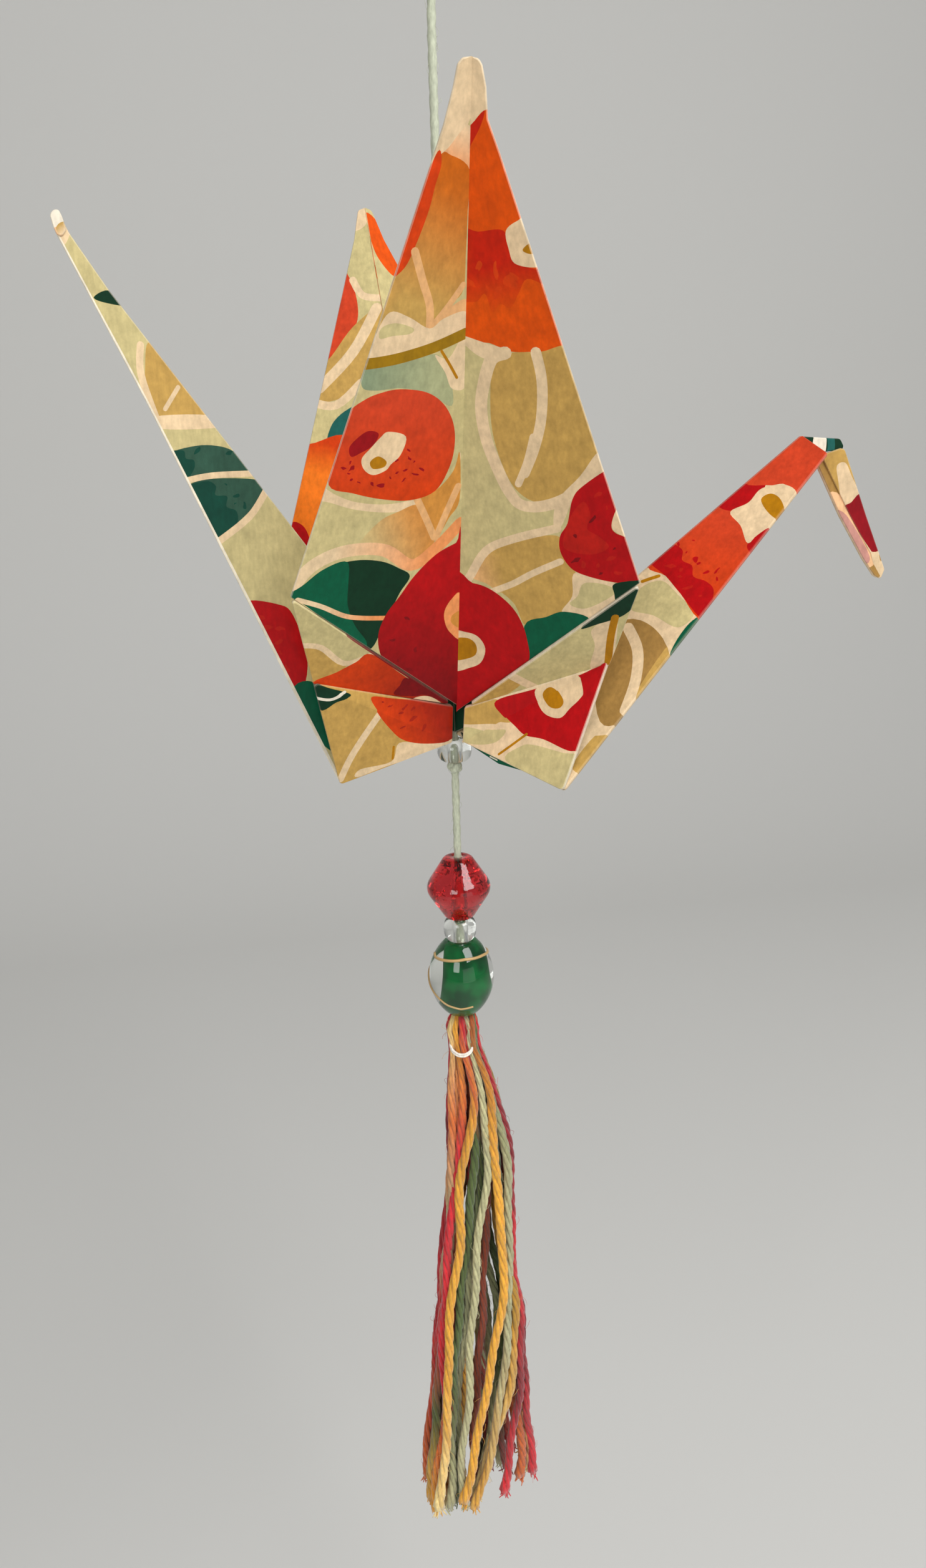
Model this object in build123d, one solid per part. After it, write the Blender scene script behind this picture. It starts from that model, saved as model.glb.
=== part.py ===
"""Hanging ornament: a crane folded from one printed square, on a cord with beads and a thread tassel.

Millimetres, +Z up. The origin is where a hook bears inside the cord's top loop, and the cord hangs
straight down the Z axis. The neck points to +X, the tail to -X and the wings lean out to -Y and +Y.
"""

from build123d import *

from math import asin, cos, pi, sin, sqrt
import os

# Paper
PAPER_SIDE = 150.0
PAPER_PLY = 0.16
FOLD_LAP = 0.12
RAW_EDGE_GAP = 0.5
WING_TIP_W = 2.4
LIMB_TIP_W = 1.7
TIP_CORNER = 0.3
NAPE_LENGTH = 3.0
CHIN_DROP = 0.0251
CHIN_OUT = 0.2423
GUSSET_DEPTH = 1.6
NEEDLE_OVERRUN = 7.5

# Cord
CORD_D = 1.0
CORD_HOLE_CLEARANCE = 0.25
PEAK_DROP = 82.1
LOOP_R = 4.0
LOOP_KNOT_DROP = 20.5
LOOP_KNOT_D = 3.0
STOP_KNOT_D = 2.3
TAIL_END_LENGTH = 2.6

# Beads
BEAD_BORE_CLEARANCE = 0.2
SEED_D = 4.5
SEED_RIM_OF_HEIGHT = 0.42
SEED_RIM_OF_WALL = 0.8
SEED_EYE_OF_REST = 0.6
STOP_BEAD_H = 2.9
SPACER_BEAD_H = 3.4
STOP_BEAD_SEAT = 0.3
BICONE_D = 8.8
BICONE_H = 8.8
BICONE_END_D = 3.8
BICONE_BAND = 0.9
BICONE_DROP = 11.05
OVAL_D = 9.0
OVAL_H = 10.8
OVAL_END_D = 4.2

# Tassel
STRAND_D = 0.82
STRAND_PITCH = 0.84
STRAND_RINGS = 2
TASSEL_HEAD_H = 6.8
TASSEL_HEAD_TOP_D = 2.9
TASSEL_LENGTH = 88.5
TASSEL_SPREAD = 5.2
BINDING_D = 0.5
BINDING_TURNS = 2
BINDING_LIE = 1.2
BINDING_STEP = 0.9
BINDING_PRESS = 0.29

# Where each crease point of the sheet comes to rest, from the peak of the back, in half sides of
# the sheet. The front and rear halves mirror each other across the plane of the neck and tail.
HALF = PAPER_SIDE / 2
PEAK = Vector(0, 0, -PEAK_DROP)


def rest(x, y, z):
    """Place of a crease point given in half sides of the sheet from the peak."""
    return PEAK + Vector(x, y, z) * HALF


WING_TIP = {"front": rest(-0.023, -0.421, 0.549), "rear": rest(-0.065, 0.431, 0.540)}
WING_ROOT = rest(0, -0.040, -0.300)
TAIL_SIDE = {
    "shoulder": rest(-0.269, -0.200, -0.084),
    "side": rest(-0.241, -0.101, -0.232),
    "lapel": rest(-0.008, -0.028, -0.301),
    "belly": rest(-0.009, -0.014, -0.366),
    "hip": rest(-0.204, -0.010, -0.427),
    "crotch": rest(-0.004, 0, -0.361),
}
NECK_SIDE = {
    "shoulder": rest(0.244, -0.264, -0.081),
    "side": rest(0.232, -0.153, -0.220),
    "lapel": rest(0.012, -0.056, -0.299),
    "belly": rest(0.009, -0.046, -0.363),
    "hip": rest(0.151, -0.175, -0.424),
    "crotch": rest(0.004, 0, -0.361),
}
BACK_FOOT = rest(0, -0.012, -0.355)
TAIL_TIP = rest(-0.561, 0, 0.464)
NECK_TOP = rest(0.617, 0, 0.1165)
CROWN = rest(0.685, 0, 0.111)
BROW = rest(0.695, 0, 0.0935)
BEAK_CHEEK = rest(0.690, -0.009, 0.0945)
BEAK_TIP = rest(0.781, 0, -0.131)

WING_PLIES = 1
SHOULDER_FLAP_PLIES = 3
LOWER_FLAP_PLIES = 5
LIMB_PLIES = 4


def towards(start, end, length):
    """Point a length from start on the way to end."""
    return start + (end - start).normalized() * length


def mirrored(point):
    return Vector(point.X, -point.Y, point.Z)


def leaf(corners, inner, outer, outward):
    """Flat leaf of pressed plies, from inner plies behind its crease plane to outer plies before it.

    Its corners run a little past the creases, so that the paper is whole across each fold.
    """
    middle = sum(corners, Vector(0, 0, 0)) * (1 / len(corners))
    lapped = [corner + (corner - middle).normalized() * FOLD_LAP for corner in corners]
    face = make_face(Polyline(*lapped, close=True)).face()
    normal = face.normal_at()
    if normal.dot(outward) < 0:
        normal = -normal
    start = face.moved(Location(normal * (-inner * PAPER_PLY)))
    return extrude(start, amount=(inner + outer) * PAPER_PLY, dir=normal)


def tube(start, end, diameter):
    """Round straight run from start to end."""
    way = end - start
    return extrude(Plane(origin=start, z_dir=way) * Circle(diameter / 2), amount=way.length)


def across(along, side):
    """Unit step square to a direction, on the way to a side."""
    along = along.normalized()
    return (side - along * side.dot(along)).normalized()


def blunt_half(tip, foot, side, width):
    """Half of a blunt tip, from its end out to its full width on one side."""
    out = across(tip - foot, side - foot) * (width / 2)
    back = (foot - tip).normalized() * (width * TIP_CORNER)
    return [tip + out * TIP_CORNER, tip + out + back]


def wing_half(tip, root, shoulder, outward):
    """Half a wing: the inner ply runs to the middle crease, the outer ply stops at its raw edge."""
    rim = [*blunt_half(tip, root, shoulder, WING_TIP_W), shoulder]
    gap = across(tip - root, shoulder - root) * (RAW_EDGE_GAP / 2)
    inner_ply = leaf([tip, *rim, root], WING_PLIES, 0, outward)
    return [inner_ply, leaf([tip + gap, *rim, root + gap], 0, WING_PLIES, outward)]


def body_quarter(points, limb_end, side, outward):
    """Lapels, back and belly leaves of one quarter of the body; the inner ones run into the limb."""
    p = {name: points[name] if side == "front" else mirrored(points[name]) for name in points}
    back_foot = BACK_FOOT if side == "front" else mirrored(BACK_FOOT)
    gusset = towards(p["crotch"], limb_end, GUSSET_DEPTH)
    half = 0.5
    return [
        leaf([p["shoulder"], p["side"], p["lapel"]], WING_PLIES, SHOULDER_FLAP_PLIES, outward),
        leaf([p["lapel"], p["side"], p["belly"]], WING_PLIES, LOWER_FLAP_PLIES, outward),
        leaf([p["side"], p["hip"], p["belly"]], WING_PLIES, LOWER_FLAP_PLIES, outward),
        leaf([PEAK, p["side"], back_foot], half, half, outward),
        leaf([PEAK, p["side"], gusset], half, half, outward),
        leaf([p["side"], p["hip"], gusset], half, half, outward),
        leaf([p["belly"], p["hip"], gusset], half, half, outward),
    ]


def blunt_end(tip, first, last):
    """Corners round the blunt tip of the tail or beak, from the first edge's side to the last's."""
    foot = (first + last) * 0.5
    far = blunt_half(tip, foot, last, LIMB_TIP_W)
    return [*reversed(blunt_half(tip, foot, first, LIMB_TIP_W)), *far]


def limb_leaf(corners, outward):
    """One face of the neck, tail or beak, with its four plies pressed together."""
    return leaf(corners, LIMB_PLIES / 2, LIMB_PLIES / 2, outward)


def limbs(side, outward):
    """The faces of the tail, neck and beak on one side of the middle plane."""
    flip = (lambda v: v) if side == "front" else mirrored
    tail_hip, tail_crotch = flip(TAIL_SIDE["hip"]), TAIL_SIDE["crotch"]
    neck_hip, neck_crotch = flip(NECK_SIDE["hip"]), NECK_SIDE["crotch"]
    cheek = flip(BEAK_CHEEK)
    chin = NECK_TOP + (neck_hip - NECK_TOP) * CHIN_DROP + (neck_hip - neck_crotch) * CHIN_OUT
    return [
        limb_leaf([tail_crotch, tail_hip, *blunt_end(TAIL_TIP, tail_hip, tail_crotch)], outward),
        limb_leaf([neck_crotch, neck_hip, chin, NECK_TOP], outward),
        limb_leaf([NECK_TOP, cheek, *blunt_end(BEAK_TIP, cheek, NECK_TOP)], outward),
    ]


def build_crane():
    leaves = []
    for side, outward in (("front", Vector(0, -1, 0)), ("rear", Vector(0, 1, 0))):
        root = WING_ROOT if side == "front" else mirrored(WING_ROOT)
        back_foot = BACK_FOOT if side == "front" else mirrored(BACK_FOOT)
        leaves += [tube(WING_TIP[side], root, 2 * PAPER_PLY), tube(PEAK, back_foot, 2 * PAPER_PLY)]
        for points, limb_end in ((TAIL_SIDE, TAIL_TIP), (NECK_SIDE, NECK_TOP)):
            shoulder = points["shoulder"] if side == "front" else mirrored(points["shoulder"])
            leaves += wing_half(WING_TIP[side], root, shoulder, outward)
            leaves += body_quarter(points, limb_end, side, outward)
        leaves += limbs(side, outward)
    nape = towards(NECK_TOP, NECK_SIDE["crotch"], NAPE_LENGTH)
    leaves.append(limb_leaf([NECK_TOP, CROWN, BROW, nape], outward))
    crane = leaves[0].fuse(*leaves[1:])
    hole_r = CORD_D / 2 + CORD_HOLE_CLEARANCE
    hip = TAIL_SIDE["hip"]
    needle_hole = Cylinder(hole_r, PEAK.Z - hip.Z + 2 * NEEDLE_OVERRUN)
    return crane - Pos(0, 0, (PEAK.Z + hip.Z) / 2) * needle_hole


def bead_bore():
    return CORD_D / 2 + BEAD_BORE_CLEARANCE


def seed_bead(height, top):
    """Small pressed ring of glass with round shoulders."""
    width = SEED_D / 2 - bead_bore()
    profile = Pos(bead_bore() + width / 2, 0) * Rectangle(width, height)
    rim_round = min(height * SEED_RIM_OF_HEIGHT, width * SEED_RIM_OF_WALL)
    rim = profile.vertices().sort_by(Axis.X)[-2:]
    profile = fillet(rim, rim_round)
    eye = profile.vertices().sort_by(Axis.X)[:2]
    profile = fillet(eye, (width - rim_round) * SEED_EYE_OF_REST)
    return Pos(0, 0, top - height / 2) * revolve(Plane.XZ * profile, Axis.Z)


def bicone_bead(top):
    """Two blunt cones base to base, with a soft girdle."""
    r, end, bore, half = BICONE_D / 2, BICONE_END_D / 2, bead_bore(), BICONE_H / 2
    band = BICONE_BAND / 2
    cones = [(end, -half), (r, -band), (r, band), (end, half)]
    profile = make_face(Polyline((bore, -half), *cones, (bore, half), close=True))
    profile = fillet(profile.vertices().sort_by(Axis.X)[-2:], BICONE_BAND)
    ends = [v for v in profile.vertices() if abs(v.X - end) < end / 100]
    profile = fillet(ends, end / 4)
    return Pos(0, 0, top - half) * revolve(Plane.XZ * profile, Axis.Z)


def oval_bead(top):
    """Barrel of glass with round sides and small flat ends."""
    r, end, bore, half = OVAL_D / 2, OVAL_END_D / 2, bead_bore(), OVAL_H / 2
    side = ThreePointArc((end, -half), (r, 0), (end, half))
    ends = Polyline((end, half), (bore, half), (bore, -half), (end, -half))
    profile = make_face([*side.edges(), *ends.edges()])
    return Pos(0, 0, top - half) * revolve(Plane.XZ * profile, Axis.Z)


def hanging_loop():
    """Both halves of the loop: a straight leg from the knot, then a quarter or more of the round top."""
    crown = Vector(0, 0, CORD_D / 2 - LOOP_R)
    knot = Vector(0, 0, -LOOP_KNOT_DROP)
    reach = crown.Z - knot.Z
    slope = asin(LOOP_R / reach)
    leg = sqrt(reach**2 - LOOP_R**2)
    halves = []
    for way in (1, -1):
        foot = Vector(way * leg * sin(slope), 0, knot.Z + leg * cos(slope))
        over = crown + Vector(way * cos(pi / 4) * LOOP_R, 0, sin(pi / 4) * LOOP_R)
        arc = ThreePointArc(foot, over, crown + Vector(0, 0, LOOP_R))
        section = Plane(origin=foot, z_dir=foot - knot) * Circle(CORD_D / 2)
        halves += [tube(knot, foot, CORD_D), sweep(section, path=arc)]
    return halves


def build_cord(stop_knot_top, end):
    knot = Pos(0, 0, -LOOP_KNOT_DROP) * Sphere(LOOP_KNOT_D / 2)
    stop = Pos(0, 0, stop_knot_top - STOP_KNOT_D / 2) * Sphere(STOP_KNOT_D / 2)
    run = tube(Vector(0, 0, -LOOP_KNOT_DROP), Vector(0, 0, end), CORD_D)
    return run.fuse(knot, stop, *hanging_loop())


def strand_places():
    """Middle strand and hexagonal rings round it, one pitch apart."""
    places = [Vector(0, 0, 0)]
    for ring in range(1, STRAND_RINGS + 1):
        corners = [Vector(cos(k * pi / 3), sin(k * pi / 3), 0) * ring for k in range(7)]
        for a, b in zip(corners, corners[1:]):
            places += [a + (b - a) * (step / ring) for step in range(ring)]
    return [place * STRAND_PITCH for place in places]


def bundle_r():
    return STRAND_RINGS * STRAND_PITCH + STRAND_D / 2


def build_tassel(top):
    """Strands doubled over the cord's end: a bored head above the binding, and the loose skirt below."""
    neck = top - TASSEL_HEAD_H
    bore = CORD_D / 2 + CORD_HOLE_CLEARANCE
    bore_end = top - TAIL_END_LENGTH - CORD_HOLE_CLEARANCE
    outline = Polyline(
        (0, neck - STRAND_D), (bundle_r(), neck - STRAND_D), (bundle_r(), neck + TASSEL_HEAD_H / 3),
        (TASSEL_HEAD_TOP_D / 2, top), (bore, top), (bore, bore_end), (0, bore_end), close=True,
    )
    head = revolve(Plane.XZ * make_face(outline), Axis.Z)
    bottom = Vector(0, 0, top - TASSEL_LENGTH)
    strands = []
    for place in strand_places():
        start = Vector(0, 0, neck) + place
        strands.append(tube(start, bottom + place * TASSEL_SPREAD, STRAND_D))
    return head.fuse(*strands)


def build_binding(neck):
    """Turns of white thread round the tassel's neck, drawn tight and pressed flat against it."""
    rings = []
    for turn in range(BINDING_TURNS):
        height = neck + BINDING_D * (BINDING_LIE + turn * BINDING_STEP)
        thread = Rectangle(BINDING_D, BINDING_D)
        thread = chamfer(thread.vertices(), BINDING_D * BINDING_PRESS)
        thread = Pos(bundle_r() + BINDING_D / 2, height) * thread
        rings.append(revolve(Plane.XZ * thread, Axis.Z))
    return rings[0].fuse(*rings[1:])


def main():
    stop_top = TAIL_SIDE["belly"].Z - STOP_BEAD_SEAT
    stop_bottom = stop_top - STOP_BEAD_H
    bicone_top = stop_bottom - STOP_KNOT_D - BICONE_DROP
    spacer_top = bicone_top - BICONE_H
    oval_top = spacer_top - SPACER_BEAD_H
    tassel_top = oval_top - OVAL_H
    parts = {
        "crane": build_crane(),
        "hanging_cord": build_cord(stop_bottom, tassel_top - TAIL_END_LENGTH),
        "stop_bead": seed_bead(STOP_BEAD_H, stop_top),
        "bicone_bead": bicone_bead(bicone_top),
        "spacer_bead": seed_bead(SPACER_BEAD_H, spacer_top),
        "oval_bead": oval_bead(oval_top),
        "tassel": build_tassel(tassel_top),
        "tassel_binding": build_binding(tassel_top - TASSEL_HEAD_H),
    }
    os.makedirs("parts", exist_ok=True)
    for name, part in parts.items():
        part.label = name
        export_step(part, f"parts/{name}.step")


main()
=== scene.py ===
import math
import random

import bpy
import numpy as np
from mathutils import Matrix, Vector
from mathutils.geometry import delaunay_2d_cdt


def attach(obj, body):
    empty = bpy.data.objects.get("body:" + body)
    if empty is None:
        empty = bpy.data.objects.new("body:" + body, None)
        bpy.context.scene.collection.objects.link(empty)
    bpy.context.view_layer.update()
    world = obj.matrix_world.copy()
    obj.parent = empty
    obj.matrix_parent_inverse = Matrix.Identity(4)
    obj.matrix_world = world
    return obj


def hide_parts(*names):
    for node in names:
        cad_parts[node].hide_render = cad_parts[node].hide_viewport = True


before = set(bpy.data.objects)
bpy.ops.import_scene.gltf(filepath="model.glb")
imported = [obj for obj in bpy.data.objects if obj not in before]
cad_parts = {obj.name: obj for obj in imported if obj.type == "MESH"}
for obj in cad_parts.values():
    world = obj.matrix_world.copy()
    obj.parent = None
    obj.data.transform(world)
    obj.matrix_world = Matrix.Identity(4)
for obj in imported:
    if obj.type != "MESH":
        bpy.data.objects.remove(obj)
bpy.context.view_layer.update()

MM = 0.001


# Colours

def linear(code):
    """Linear RGB of an sRGB hex colour."""
    parts = [int(code[i:i + 2], 16) / 255 for i in (1, 3, 5)]
    return [p / 12.92 if p <= 0.04045 else ((p + 0.055) / 1.055) ** 2.4 for p in parts]


INK = {
    "cream": "#E0C49C", "white": "#E4DAC6", "sage": "#C4B580", "mint": "#A6A87E",
    "greygreen": "#869474", "tan": "#BF9850", "umbertan": "#A07A40", "umber": "#C6620F",
    "tanorange": "#CB8A3C", "tanpeach": "#CF8C44", "peach": "#E89458", "peachcream": "#DFAA72",
    "creampeach": "#E3B486", "flame": "#CE3C06", "orange": "#D94E00", "marigold": "#F0781C",
    "vermilion": "#C01E02", "coral": "#CA4020", "brick": "#9C200A", "crimson": "#B0060C",
    "claret": "#7A060C", "darkred": "#940811", "viridian": "#005539", "bottle": "#08301C",
    "spruce": "#2E5040", "teal": "#1B5A52", "pine": "#0A4032", "scarlet": "#B81A10",
    "wine": "#8E0C18", "rose": "#B98478", "branch": "#96700C", "ochre": "#AE7404",
    # Pale edge colour: paper bared where ink wears off a rim, and a painted highlight along edges.
    "edge": "#EADFC8",
}
INK = {name: np.array(linear(code)) for name, code in INK.items()}


# Print of the paper: fields and strokes of ink, in millimetres on each panel laid flat. Across is
# the first number and along the panel's first crease is the second.

def curve_through(points, closed, steps):
    """Smooth line through a few points."""
    p = np.array(points, float)
    n = len(p)
    out = []
    for i in range(n if closed else n - 1):
        if closed:
            a, b, c, d = p[i - 1], p[i], p[(i + 1) % n], p[(i + 2) % n]
        else:
            a, b, c, d = p[max(i - 1, 0)], p[i], p[i + 1], p[min(i + 2, n - 1)]
        for t in np.arange(steps) / steps:
            out.append(0.5 * (2 * b + (c - a) * t + (2 * a - 5 * b + 4 * c - d) * t**2
                              + (3 * b - a - 3 * c + d) * t**3))
    if not closed:
        out.append(p[-1])
    return np.array(out)


def field(ink, points, fade=None):
    """Patch of ink with a smooth outline."""
    return ink, curve_through(points, True, 5), fade


def stroke(ink, width, points, fade=None):
    """Brush line of ink with round ends."""
    line = curve_through(points, False, 5)
    way = np.gradient(line, axis=0)
    way /= np.linalg.norm(way, axis=1)[:, None]
    side = np.stack([-way[:, 1], way[:, 0]], 1) * width / 2
    turn = np.linspace(0, math.pi, 6)[1:-1, None]

    def cap(at, half, ahead):
        return at + half * np.cos(turn) + ahead * np.sin(turn) * width / 2

    outline = [line + side, cap(line[-1], side[-1], way[-1]), (line - side)[::-1],
               cap(line[0], -side[0], -way[0])]
    return ink, np.concatenate(outline), fade


def flecks(ink, size, places):
    """Scatter of small ragged dabs, each longer than it is wide."""
    chance = random.Random(len(places))
    dabs = []
    for u, v in places:
        u, v = u + chance.uniform(-0.4, 0.4), v + chance.uniform(-0.4, 0.4)
        lean, big = chance.uniform(0, math.pi), size * chance.uniform(0.4, 1.3)
        corners = []
        for t in np.arange(7) * 2 * math.pi / 7:
            a = big * chance.uniform(0.5, 1.3) * math.cos(t)
            b = big * chance.uniform(0.15, 0.65) * math.sin(t)
            corners.append((u + a * math.cos(lean) - b * math.sin(lean),
                            v + a * math.sin(lean) + b * math.cos(lean)))
        dabs.append(field(ink, corners))
    return dabs


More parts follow.
